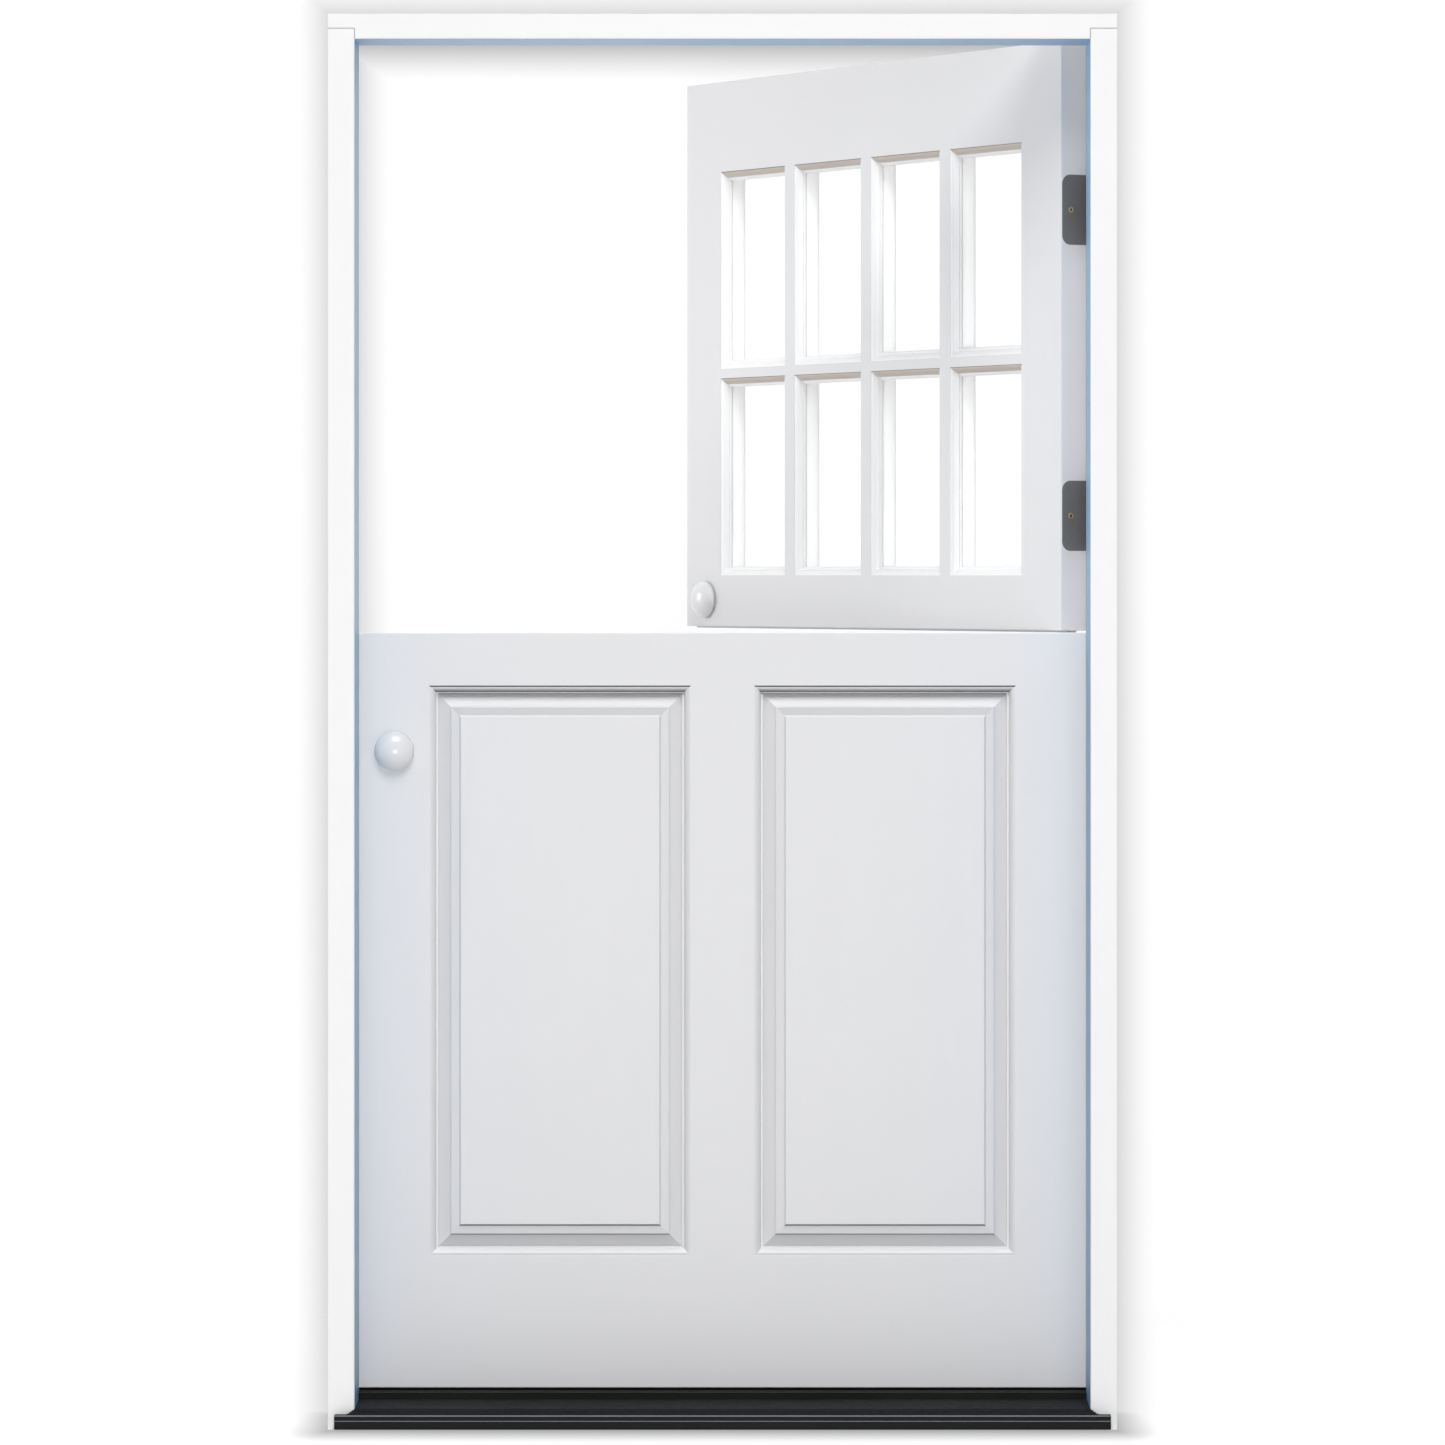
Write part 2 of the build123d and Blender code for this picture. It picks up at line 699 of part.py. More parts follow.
lower_rails = [(z_lower, z_lower + lower_bottom_rail_h), (z_lower_top - lower_top_rail_h, z_lower_top)]
lower_latch_stile = latch_stile(z_lower, lower_h, lower_stile, panel_edge, z_lower_knob, lower_rails)
lower_hinge_stile = hinge_stile(z_lower, lower_h, lower_stile, panel_edge, lower_hinges,
                                lower_hinge_screw_places, lower_rails)
lower_stiles = [lower_latch_stile, lower_hinge_stile]
lower_span = (z_lower, lower_h)
lower_top_rail = rail_part(z_lower_top, -1, lower_top_rail_h, lower_stile, lower_stiles, panel_edge, lower_span)
lower_bottom_rail = rail_part(z_lower, 1, lower_bottom_rail_h, lower_stile, lower_stiles, panel_edge, lower_span)
panel_z_low = z_lower + lower_bottom_rail_h
panel_z_high = z_lower_top - lower_top_rail_h

with BuildPart() as mullion:
    bar(across((0, y_face, panel_z_high), (1, 0, 0)), -(panel_z_high - panel_z_low), mullion_w, panel_edge)
    add(lower_top_rail.part, mode=Mode.SUBTRACT)
    add(lower_bottom_rail.part, mode=Mode.SUBTRACT)
    reach = panel_stick - groove_d
    thick = (groove_w - groove_play) / 2
    box_between((-mullion_w / 4, y_latch - thick, panel_z_low + reach),
                (mullion_w / 4, y_latch + thick, panel_z_high - reach))


def raised_panel(x_middle):
    """A raised panel: a tongue all round in the grooves, and two slopes up to a flat field on each face."""
    width = half_leaf - lower_stile - mullion_w / 2
    height = panel_z_high - panel_z_low
    z_middle = (panel_z_low + panel_z_high) / 2
    tongue_depth = leaf_t / 2 - groove_w / 2 + groove_play / 2
    bevel_in = panel_stick + bevel_w
    slope_in = bevel_in + bevel_step
    step_in = slope_in + slope_w
    field_in = step_in + field_step
    tongue_in = panel_stick - groove_d + tongue_play
    levels = [(panel_stick, tongue_depth), (bevel_in, bevel_top_depth), (slope_in, slope_foot_depth),
              (step_in, slope_top_depth), (field_in, field_depth)]
    with BuildPart() as panel:
        box_between((x_middle - width / 2 + tongue_in, y_face + tongue_depth, panel_z_low + tongue_in),
                    (x_middle + width / 2 - tongue_in, y_in - tongue_depth, panel_z_high - tongue_in))
        for (inset_a, depth_a), (inset_b, depth_b) in zip(levels, levels[1:]):
            for face_y, inward in ((y_face, 1), (y_in, -1)):
                for inset, depth in ((inset_a, depth_a), (inset_b, depth_b)):
                    with BuildSketch(Plane.XZ.offset(-(face_y + inward * depth))):
                        with Locations((x_middle, z_middle)):
                            Rectangle(width - 2 * inset, height - 2 * inset)
                loft(ruled=True)
    return panel


left_panel = raised_panel(-(half_leaf - lower_stile + mullion_w / 2) / 2)
right_panel = raised_panel((half_leaf - lower_stile + mullion_w / 2) / 2)

half_rail = half_leaf - lower_stile - panel_stick
with BuildPart() as lower_bottom_cut:
    box_between((-half_rail, y_latch - seal_kerf_w / 2, z_lower),
                (half_rail, y_latch + seal_kerf_w / 2, z_lower + seal_kerf_d))

with BuildPart() as door_sweep:
    box_between((-half_leaf + side_gap, y_latch - seal_w / 2, cap_top + seal_relief),
                (half_leaf - side_gap, y_latch + seal_w / 2, z_lower))
    chamfer(door_sweep.edges().filter_by(Axis.X).group_by(Axis.Z)[0], (z_lower - cap_top) / 4)
    add(lower_bottom_cut.part)
keep(door_sweep, "door_sweep")

with BuildPart() as lower_bottom_rail_cut:
    add(lower_bottom_rail.part)
    add(lower_bottom_cut.part, mode=Mode.SUBTRACT)

keep(lower_latch_stile, "lower_latch_stile")
keep(lower_hinge_stile, "lower_hinge_stile")
keep(lower_bottom_rail_cut, "lower_bottom_rail")
keep(mullion, "mullion")
keep(left_panel, "left_panel")
keep(right_panel, "right_panel")


# Upper leaf: eight panes between stiles, rails and glazing bars

upper_rails = [(z_upper, z_upper + upper_bottom_rail_h), (z_upper_top - upper_top_rail_h, z_upper_top)]
upper_latch_stile = latch_stile(z_upper, upper_h, upper_stile, lite_edge, z_upper_knob, upper_rails)
upper_hinge_stile = hinge_stile(z_upper, upper_h, upper_stile, lite_edge, upper_hinges,
                                upper_hinge_screw_places, upper_rails)
upper_stiles = [upper_latch_stile, upper_hinge_stile]
upper_span = (z_upper, upper_h)
upper_top_rail = rail_part(z_upper_top, -1, upper_top_rail_h, upper_stile, upper_stiles, lite_edge, upper_span)
upper_bottom_rail = rail_part(z_upper, 1, upper_bottom_rail_h, upper_stile, upper_stiles, lite_edge, upper_span)
lites_z_low = z_upper + upper_bottom_rail_h
lites_z_high = z_upper_top - upper_top_rail_h
lite_w = (leaf_w - 2 * upper_stile - (lite_columns - 1) * upright_bar_w) / lite_columns
lite_h = (lites_z_high - lites_z_low - (lite_rows - 1) * cross_bar_w) / lite_rows
lite_x = [-half_leaf + upper_stile + lite_w / 2 + n * (lite_w + upright_bar_w) for n in range(lite_columns)]
lite_z = [lites_z_low + lite_h / 2 + n * (lite_h + cross_bar_w) for n in range(lite_rows)]

upright_bars = []
for n in range(lite_columns - 1):
    x_bar = (lite_x[n] + lite_x[n + 1]) / 2
    with BuildPart() as upright:
        bar(across((x_bar, y_face, lites_z_high + bar_over), (1, 0, 0)),
            -(lites_z_high - lites_z_low + 2 * bar_over), upright_bar_w, lite_edge)
        add(upper_top_rail.part, mode=Mode.SUBTRACT)
        add(upper_bottom_rail.part, mode=Mode.SUBTRACT)
    upright_bars.append(upright)

with BuildPart() as cross_bars:
    for n in range(lite_rows - 1):
        z_bar = (lite_z[n] + lite_z[n + 1]) / 2
        bar(across((half_leaf - upper_stile, y_face, z_bar), (0, 0, 1)), leaf_w - 2 * upper_stile, cross_bar_w,
            lite_edge)
    for other in upper_stiles + upright_bars:
        add(other.part, mode=Mode.SUBTRACT)

with BuildPart() as upright_group:
    for upright in upright_bars:
        add(upright.part)
keep(upright_group, "upright_bars", open_angle)
keep(cross_bars, "cross_bars", open_angle)

y_glass = y_face + glass_depth + glass_bed
y_bead = y_glass + glass_t + glass_bed
pane_number = 0
for z in reversed(lite_z):
    for x in lite_x:
        pane_number += 1
        with BuildPart() as pane:
            reach_x = lite_w / 2 - glass_play
            reach_z = lite_h / 2 - glass_play
            box_between((x - reach_x, y_glass, z - reach_z), (x + reach_x, y_glass + glass_t, z + reach_z))
        keep(pane, f"pane_{pane_number}", open_angle)

with BuildPart() as glazing_beads:
    for z in lite_z:
        for x in lite_x:
            box_between((x - lite_w / 2, y_bead, z - lite_h / 2), (x + lite_w / 2, y_in, z + lite_h / 2))
    for z in lite_z:
        for x in lite_x:
            with BuildSketch(Plane.XZ.offset(-y_bead)):
                with Locations((x, z)):
                    Rectangle(lite_w - 2 * lite_stick, lite_h - 2 * lite_stick)
            extrude(amount=-(y_in - y_bead), mode=Mode.SUBTRACT)
    inner_rims = glazing_beads.faces().filter_by(Axis.Y).group_by(Axis.Y)[-1]
    rim_edges = [edge for rim in inner_rims for wire in rim.inner_wires() for edge in wire.edges()]
    fillet(rim_edges, lite_ovolo)
keep(glazing_beads, "glazing_beads", open_angle)

half_rail = half_leaf - upper_stile - lite_stick
with BuildPart() as upper_bottom_cut:
    box_between((-half_rail, y_latch - seal_kerf_w / 2, z_upper),
                (half_rail, y_latch + seal_kerf_w / 2, z_upper + seal_kerf_d))

with BuildPart() as meeting_seal:
    box_between((-half_leaf + side_gap, y_latch - seal_w / 2, z_lower_top + seal_relief),
                (half_leaf - side_gap, y_latch + seal_w / 2, z_upper))
    chamfer(meeting_seal.edges().filter_by(Axis.X).group_by(Axis.Z)[0], meeting_gap / 4)
    add(upper_bottom_cut.part)
keep(meeting_seal, "meeting_seal", open_angle)


# Bolt that joins the leaves

joiner_x = -half_leaf + joiner_from_edge
z_joiner_plate = z_upper + joiner_lift
y_rod = y_in + joiner_plate_t + joiner_rod_out


def joiner_guide(z_low, height, play):
    """A guide block on a joiner plate, bored for the rod."""
    box_between((joiner_x - joiner_guide_w / 2, y_in, z_low),
                (joiner_x + joiner_guide_w / 2, y_in + joiner_plate_t + joiner_guide_top, z_low + height))
    with BuildSketch(Plane.XY.offset(z_low)) as bore:
        with Locations((joiner_x, y_rod)):
            Circle(joiner_rod_r + play)
    extrude(bore.sketch, amount=height, mode=Mode.SUBTRACT)


def joiner_screw_places(z_low, height):
    """Screws at the corners of a joiner plate, beside its guides."""
    inset = screw_head_r + joiner_screw_edge
    z_mid = z_low + height / 2
    apart = screw_head_r + inset
    rows = [z_mid] if height < 2 * joiner_guide_h else [z_mid - apart, z_mid + apart]
    return [facing(joiner_x + side * (joiner_plate_w / 2 - inset + joiner_guide_w / 2), y_in + joiner_plate_t, z,
                   (0, 1, 0)) for z in rows for side in (-1, 1)]


plate_half = joiner_plate_w / 2 + joiner_guide_w / 2
joiner_screws_upper = joiner_screw_places(z_joiner_plate, joiner_plate_h)
z_keeper = z_lower_top - keeper_drop - keeper_h
joiner_screws_lower = joiner_screw_places(z_keeper, keeper_h)

with BuildPart() as joiner_guides:
    box_between((joiner_x - plate_half, y_in, z_joiner_plate),
                (joiner_x + plate_half, y_in + joiner_plate_t, z_joiner_plate + joiner_plate_h))
    fillet(joiner_guides.edges().filter_by(Axis.Y), joiner_plate_t)
    joiner_guide(z_joiner_plate, joiner_guide_h, joiner_bore_play)
    joiner_guide(z_joiner_plate + joiner_plate_h - joiner_guide_h, joiner_guide_h, joiner_bore_play)
    put(small_screw_hole, joiner_screws_upper, Mode.SUBTRACT)
keep(joiner_guides, "joiner_guides", open_angle)

with BuildPart() as joiner_rod:
    with BuildSketch(Plane.XY.offset(z_joiner_plate)):
        with Locations((joiner_x, y_rod)):
            Circle(joiner_rod_r)
    extrude(amount=joiner_plate_h + joiner_travel)
    chamfer(joiner_rod.edges().group_by(Axis.Z)[0], joiner_rod_r / 4)
    grip_z = z_joiner_plate + joiner_plate_h - joiner_guide_h - joiner_grip_r - joiner_grip_gap
    with BuildSketch(Plane.XZ.offset(-y_rod)):
        with Locations((joiner_x, grip_z)):
            Circle(joiner_grip_r)
    extrude(amount=-joiner_grip_l)
    fillet(joiner_rod.faces().sort_by(Axis.Y)[-1].edges(), joiner_grip_r / 2)
keep(joiner_rod, "joiner_rod", open_angle)

with BuildPart() as joiner_keeper:
    box_between((joiner_x - plate_half, y_in, z_keeper),
                (joiner_x + plate_half, y_in + joiner_plate_t, z_keeper + keeper_h))
    fillet(joiner_keeper.edges().filter_by(Axis.Y), joiner_plate_t)
    joiner_guide(z_keeper, keeper_h, keeper_bore_play)
    put(small_screw_hole, joiner_screws_lower, Mode.SUBTRACT)
keep(joiner_keeper, "joiner_keeper")

with BuildPart() as upper_rail_cut:
    add(upper_bottom_rail.part)
    add(upper_bottom_cut.part, mode=Mode.SUBTRACT)
    put(small_screw_hole, joiner_screws_upper, Mode.SUBTRACT)
keep(upper_rail_cut, "upper_bottom_rail", open_angle)
keep(upper_top_rail, "upper_top_rail", open_angle)
keep(upper_latch_stile, "upper_latch_stile", open_angle)
keep(upper_hinge_stile, "upper_hinge_stile", open_angle)

with BuildPart() as lower_rail_cut:
    add(lower_top_rail.part)
    put(small_screw_hole, joiner_screws_lower, Mode.SUBTRACT)
keep(lower_rail_cut, "lower_top_rail")


# Screws in the leaves

with BuildPart() as upper_screws:
    put(wood_screw, upper_hinge_screw_places + faceplate_screws(z_upper_knob))
    put(small_screw, joiner_screws_upper)
keep(upper_screws, "upper_leaf_screws", open_angle)

with BuildPart() as lower_screws:
    put(wood_screw, lower_hinge_screw_places + faceplate_screws(z_lower_knob))
    put(small_screw, joiner_screws_lower)
keep(lower_screws, "lower_leaf_screws")


# Latches and knobs

def latch_case(z):
    """Tubular latch case with its faceplate, hollow for the bolt and cross bored for the spindle."""
    with BuildPart() as case:
        add(latch_case_outline(z))
        reach_y = bolt_w / 2 + bolt_play
        reach_z = bolt_h / 2 + bolt_play
        box_between((-half_leaf, y_latch - reach_y, z - reach_z),
                    (-half_leaf + bolt_in + bolt_out + bolt_play, y_latch + reach_y, z + reach_z), Mode.SUBTRACT)
        with BuildSketch(Plane.XZ.offset(-y_face)):
            with Locations((knob_x, z)):
                Circle(spindle_bore_r)
        extrude(amount=-leaf_t, mode=Mode.SUBTRACT)
        put(wood_screw_hole, faceplate_screws(z), Mode.SUBTRACT)
    return case


def latch_bolt(z):
    """Spring bolt: a square bar whose outer end is bevelled on the side that meets the strike."""
    x_tip = -half_leaf - bolt_out
    low = y_latch - bolt_w / 2
    high = y_latch + bolt_w / 2
    with BuildPart() as bolt:
        with BuildSketch(Plane.XY.offset(z - bolt_h / 2)):
            Polygon((x_tip, high), (x_tip, high - bolt_w / 4), (x_tip + bolt_bevel, low),
                    (-half_leaf + bolt_in - bolt_out, low), (-half_leaf + bolt_in - bolt_out, high), align=None)
        extrude(amount=bolt_h)
    return bolt


def knob(z, outward, spindle):
    """A low domed knob, outward -1 outside and 1 inside. One carries the spindle, the other is bored for it."""
    face_y = y_face if outward < 0 else y_in
    place = Plane(origin=(knob_x, face_y, z), x_dir=(1, 0, 0), z_dir=(0, 0, 1))
    rim = knob_stand + knob_rim
    seat = rim + knob_dome / 3
    socket = [(0, knob_face_gap)] if spindle else [(0, seat), (socket_r, seat), (socket_r, knob_face_gap)]
    profile = [(0, rim + knob_dome), *socket, (knob_neck_r, knob_face_gap), (knob_neck_r, knob_stand),
               (knob_r, knob_stand), (knob_r, rim)]
    with BuildPart() as turned:
        with BuildSketch(place):
            with BuildLine():
                Polyline(*[(u, outward * v) for u, v in profile])
                TangentArc((0, outward * (rim + knob_dome)), (knob_r, outward * rim), tangent=(1, 0))
            make_face()
        revolve(axis=Axis((knob_x, face_y, z), (0, 1, 0)))
        if spindle:
            half = spindle_side / 2
            box_between((knob_x - half, y_face - knob_stand, z - half), (knob_x + half, y_in + seat, z + half))
    return turned


for leaf, z, swing in (("upper", z_upper_knob, open_angle), ("lower", z_lower_knob, 0.0)):
    keep(latch_case(z), f"{leaf}_latch_case", swing)
    keep(latch_bolt(z), f"{leaf}_latch_bolt", swing)
    keep(knob(z, -1, True), f"{leaf}_outer_knob", swing)
    keep(knob(z, 1, False), f"{leaf}_inner_knob", swing)

# Where the joints lie with the upper leaf open
turned_in = radians(open_angle)


def swung(x, y):
    """Where a point of the closed upper leaf lies when it stands open."""
    dx, dy = x - pin_x, y - pin_y
    return pin_x + dx * cos(turned_in) + dy * sin(turned_in), pin_y - dx * sin(turned_in) + dy * cos(turned_in)


print("hinge pins", pin_x, pin_y)
print("upper knob", swung(knob_x, y_face), z_upper_knob, "lower knob", (knob_x, y_face), z_lower_knob)
print("joiner", swung(joiner_x, y_rod), "lites", lite_w, lite_h, "frame", 2 * half_frame, frame_h)
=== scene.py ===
import json
import math

import bpy
import numpy as np
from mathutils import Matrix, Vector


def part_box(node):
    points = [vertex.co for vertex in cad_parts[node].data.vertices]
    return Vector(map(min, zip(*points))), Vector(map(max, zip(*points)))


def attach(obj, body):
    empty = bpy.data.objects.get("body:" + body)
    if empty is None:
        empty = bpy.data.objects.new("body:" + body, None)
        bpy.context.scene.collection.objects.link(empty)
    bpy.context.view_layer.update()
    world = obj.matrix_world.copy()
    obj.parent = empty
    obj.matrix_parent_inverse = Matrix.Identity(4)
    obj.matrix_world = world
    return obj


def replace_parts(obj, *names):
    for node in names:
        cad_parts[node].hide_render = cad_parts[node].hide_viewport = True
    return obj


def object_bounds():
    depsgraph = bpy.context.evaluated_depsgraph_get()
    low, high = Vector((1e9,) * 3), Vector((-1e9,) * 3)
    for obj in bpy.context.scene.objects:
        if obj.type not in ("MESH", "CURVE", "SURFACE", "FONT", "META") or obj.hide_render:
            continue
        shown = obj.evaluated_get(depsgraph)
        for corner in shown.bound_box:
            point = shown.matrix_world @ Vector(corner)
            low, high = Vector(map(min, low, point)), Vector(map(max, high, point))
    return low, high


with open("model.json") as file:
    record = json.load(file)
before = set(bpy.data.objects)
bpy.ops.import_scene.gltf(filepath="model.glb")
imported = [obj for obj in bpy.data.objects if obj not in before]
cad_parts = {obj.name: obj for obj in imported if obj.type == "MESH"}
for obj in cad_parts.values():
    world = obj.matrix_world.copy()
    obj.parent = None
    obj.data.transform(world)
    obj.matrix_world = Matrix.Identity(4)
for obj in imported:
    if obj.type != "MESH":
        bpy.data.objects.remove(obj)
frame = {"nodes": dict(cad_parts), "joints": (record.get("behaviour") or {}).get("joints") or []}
cad_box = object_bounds()
nodes = frame["nodes"]
joints = {joint["name"]: joint for joint in frame["joints"]}

# Painted timber of the frame: two rabbeted side jambs and a head, planed, primed and sprayed a
# clean white. Their inner faces, up to the stop, are coloured blue-grey, and the head sits over
# the jambs on a hairline joint.
frame_white = (0.93, 0.93, 0.935, 1)
reveal_blue = (0.240, 0.425, 0.655, 1)
seam_grey = (0.42, 0.42, 0.42, 1)
seal_room = 0.00635
jamb_low, jamb_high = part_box("strike_jamb")
head_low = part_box("head_jamb")[0]
leaf_low, leaf_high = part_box("lower_top_rail")
half_stop = -jamb_high.x
front_y = jamb_low.y
stop_y = leaf_low.y - seal_room
jamb_top = jamb_high.z


def step(tree, kind, inputs=None, **settings):
    """One node. Settings are its own properties, and each input is a value or the socket that feeds it."""
    made = tree.nodes.new(kind)
    for key, value in settings.items():
        setattr(made, key, value)
    for key, value in (inputs or {}).items():
        if isinstance(value, bpy.types.NodeSocket):
            tree.links.new(value, made.inputs[key])
        else:
            made.inputs[key].default_value = value
    return made


def maths(tree, operation, first, second=0.0):
    """The result of one sum on two values or sockets."""
    return step(tree, "ShaderNodeMath", {0: first, 1: second}, operation=operation).outputs[0]


def linear(tree, value, by, base):
    """The base plus the value times a number."""
    return maths(tree, "ADD", maths(tree, "MULTIPLY", value, by), base)


def scaled(tree, colour, shade):
    """The colour times the shade."""
    return step(tree, "ShaderNodeVectorMath", {0: colour, "Scale": shade}, operation="SCALE").outputs[0]


def blended(tree, share, first, second):
    """A colour that goes from the first to the second as the share goes from 0 to 1."""
    mixed = step(tree, "ShaderNodeMix", {"Factor": share, "A": first, "B": second}, data_type="RGBA")
    return mixed.outputs[2]


def effect(name, wanted, given):
    """An empty node group with named inputs (socket kind and value) and outputs (socket kind)."""
    tree = bpy.data.node_groups.new(name, "ShaderNodeTree")
    for key, (kind, value) in wanted.items():
        tree.interface.new_socket(key, in_out="INPUT", socket_type=kind).default_value = value
    for key, kind in given.items():
        tree.interface.new_socket(key, in_out="OUTPUT", socket_type=kind)
    return tree, tree.nodes.new("NodeGroupInput").outputs, tree.nodes.new("NodeGroupOutput").inputs


# Sprayed paint over timber: the grain shows through as long faint ridges, the spray leaves a fine
# skin like an orange's, and the tone drifts a little from place to place.
paint_film, given, result = effect(
    "paint_film",
    {"Place": ("NodeSocketVector", (0, 0, 0)), "Along Rail": ("NodeSocketFloat", 0),
     "Colour": ("NodeSocketColor", (1, 1, 1, 1)), "Grain": ("NodeSocketFloat", 0.5)},
    {"Colour": "NodeSocketColor", "Roughness": "NodeSocketFloat", "Height": "NodeSocketFloat"},
)
parts = step(paint_film, "ShaderNodeSeparateXYZ", {0: given["Place"]}).outputs
turned_place = step(paint_film, "ShaderNodeCombineXYZ", {0: parts[2], 1: parts[1], 2: parts[0]}).outputs[0]
lengthwise = step(paint_film, "ShaderNodeMix",
                  {"Factor": given["Along Rail"], 4: given["Place"], 5: turned_place},
                  data_type="VECTOR").outputs[1]


def stretched_noise(tree, place, scale, detail):
    """Noise whose cells are as many to the metre, along each axis, as the three scales say."""
    spread = step(tree, "ShaderNodeMapping", {"Vector": place, "Scale": scale}).outputs[0]
    return step(tree, "ShaderNodeTexNoise", {"Vector": spread, "Scale": 1, "Detail": detail}).outputs["Fac"]


ridges = stretched_noise(paint_film, lengthwise, (230, 230, 7), 4)
strokes = stretched_noise(paint_film, lengthwise, (900, 900, 60), 2)
skin = stretched_noise(paint_film, given["Place"], (1400, 1400, 1400), 1)
drift = stretched_noise(paint_film, given["Place"], (3.1, 3.1, 2.3), 2)
grainy = maths(paint_film, "MULTIPLY", ridges, given["Grain"])
height = maths(paint_film, "ADD", grainy, maths(paint_film, "MULTIPLY", strokes, 0.12))
height = maths(paint_film, "ADD", height, maths(paint_film, "MULTIPLY", skin, 0.10))
shade = linear(paint_film, drift, 0.030, 0.982)
shade = maths(paint_film, "ADD", shade, maths(paint_film, "MULTIPLY", ridges, 0.006))
tinted = scaled(paint_film, given["Colour"], shade)
roughness = linear(paint_film, ridges, 0.12, 0.34)
paint_film.links.new(tinted, result["Colour"])
paint_film.links.new(roughness, result["Roughness"])
paint_film.links.new(height, result["Height"])

# Eased arris: real edges are never knife sharp. The normal turns over a fraction of a millimetre,
# and the mask says where, so that a film can be thinner or brighter there.
eased_arris, given, result = effect(
    "eased_arris",
    {"Radius": ("NodeSocketFloat", 0.0007)},
    {"Normal": "NodeSocketVector", "Edge": "NodeSocketFloat"},
)
rounded = step(eased_arris, "ShaderNodeBevel", {"Radius": given["Radius"]}, samples=4).outputs[0]
flat = step(eased_arris, "ShaderNodeNewGeometry").outputs["True Normal"]
along = step(eased_arris, "ShaderNodeVectorMath", {0: rounded, 1: flat},
             operation="DOT_PRODUCT").outputs["Value"]
turned_away = maths(eased_arris, "SUBTRACT", 1.0, along)
edge = step(eased_arris, "ShaderNodeMapRange", {0: turned_away, 1: 0.01, 2: 0.2}).outputs[0]
eased_arris.links.new(rounded, result["Normal"])
eased_arris.links.new(edge, result["Edge"])


def finish_of(name):
    """A material with its tree, its Principled shader and the object's own coordinates."""
    material = bpy.data.materials.new(name)
    material.use_nodes = True
    tree = material.node_tree
    shader = tree.nodes["Principled BSDF"]
    place = step(tree, "ShaderNodeTexCoord").outputs["Object"]
    return material, tree, shader, place


def group(tree, kind, inputs=None):
    """The outputs of one shared effect placed in a material."""
    return step(tree, "ShaderNodeGroup", inputs, node_tree=kind).outputs


def paint_on(tree, shader, place, colour, along_rail, grain=0.5, arris=0.0):
    """Lay the paint film on a material's shader, with eased arrises where the timber was cut sharp."""
    wanted = {"Place": place, "Along Rail": along_rail, "Colour": colour, "Grain": grain}
    film = group(tree, paint_film, wanted)
    bump = step(tree, "ShaderNodeBump", {"Strength": 0.35, "Distance": 0.0002, "Height": film["Height"]})
    if arris:
        tree.links.new(group(tree, eased_arris, {"Radius": arris})["Normal"], bump.inputs["Normal"])
    tree.links.new(film["Colour"], shader.inputs["Base Color"])
    tree.links.new(film["Roughness"], shader.inputs["Roughness"])
    tree.links.new(bump.outputs[0], shader.inputs["Normal"])


def within(tree, value, low, high):
    """1 where the value lies between the two limits, else 0."""
    above = maths(tree, "GREATER_THAN", value, low)
    return maths(tree, "MULTIPLY", above, maths(tree, "LESS_THAN", value, high))


def frame_timber(name, along_rail):
    """White paint, the blue-grey of the reveal up to the stop, and the hairline where head and jamb meet."""
    edge_skip = 0.0012
    seam_half = 0.0007
    material, tree, shader, place = finish_of(name)
    x, y, z = step(tree, "ShaderNodeSeparateXYZ", {0: place}).outputs
    out_x = maths(tree, "ABSOLUTE", x)
    inside = maths(tree, "LESS_THAN", out_x, half_stop + edge_skip / 2)
    below = maths(tree, "LESS_THAN", z, head_low.z + edge_skip / 2)
    deep = within(tree, y, front_y + edge_skip, stop_y + edge_skip / 2)
    reveal = maths(tree, "MULTIPLY", deep, maths(tree, "MULTIPLY", inside, below))
    level = within(tree, z, jamb_top - seam_half, jamb_top + seam_half)
    across = maths(tree, "GREATER_THAN", out_x, half_stop)
    upright = within(tree, out_x, half_stop - seam_half, half_stop + seam_half)
    over = within(tree, z, head_low.z, jamb_top)
    front = maths(tree, "LESS_THAN", y, front_y + edge_skip / 4)
    seam = maths(tree, "MULTIPLY", level, across)
    seam = maths(tree, "MAXIMUM", seam, maths(tree, "MULTIPLY", upright, over))
    seam = maths(tree, "MULTIPLY", seam, front)
    colour = blended(tree, reveal, frame_white, reveal_blue)
    colour = blended(tree, seam, colour, seam_grey)
    paint_on(tree, shader, place, colour, along_rail, grain=0.3, arris=0.0008)
    return material


def coat(material, *names):
    """Give the named CAD pieces this material."""
    for name in names:
        slots = nodes[name].material_slots
        if len(slots) == 0:
            nodes[name].data.materials.append(material)
        for slot in slots:
            slot.material = material


coat(frame_timber("frame_paint_upright", 0), "strike_jamb", "hinge_jamb")
coat(frame_timber("frame_paint_level", 1), "head_jamb")

# Seals of the frame: soft foam in a smooth pale skin, shaped like a bulb, on a barbed stem that is
# pressed into a kerf. They are sold as one profile and cut to length.
seal_grey = (0.62, 0.66, 0.69, 1)
seal_material, tree, shader, place = finish_of("seal_skin")
pores = stretched_noise(tree, place, (700, 700, 700), 2)
waves = stretched_noise(tree, place, (60, 60, 14), 2)
soft = maths(tree, "ADD", maths(tree, "MULTIPLY", pores, 0.4), waves)
shade = linear(tree, waves, 0.08, 0.96)
tinted = scaled(tree, seal_grey[:3], shade)
tree.links.new(tinted, shader.inputs["Base Color"])
bump = step(tree, "ShaderNodeBump", {"Strength": 0.3, "Distance": 0.0004, "Height": soft})
tree.links.new(bump.outputs[0], shader.inputs["Normal"])
shader.inputs["Roughness"].default_value = 0.62


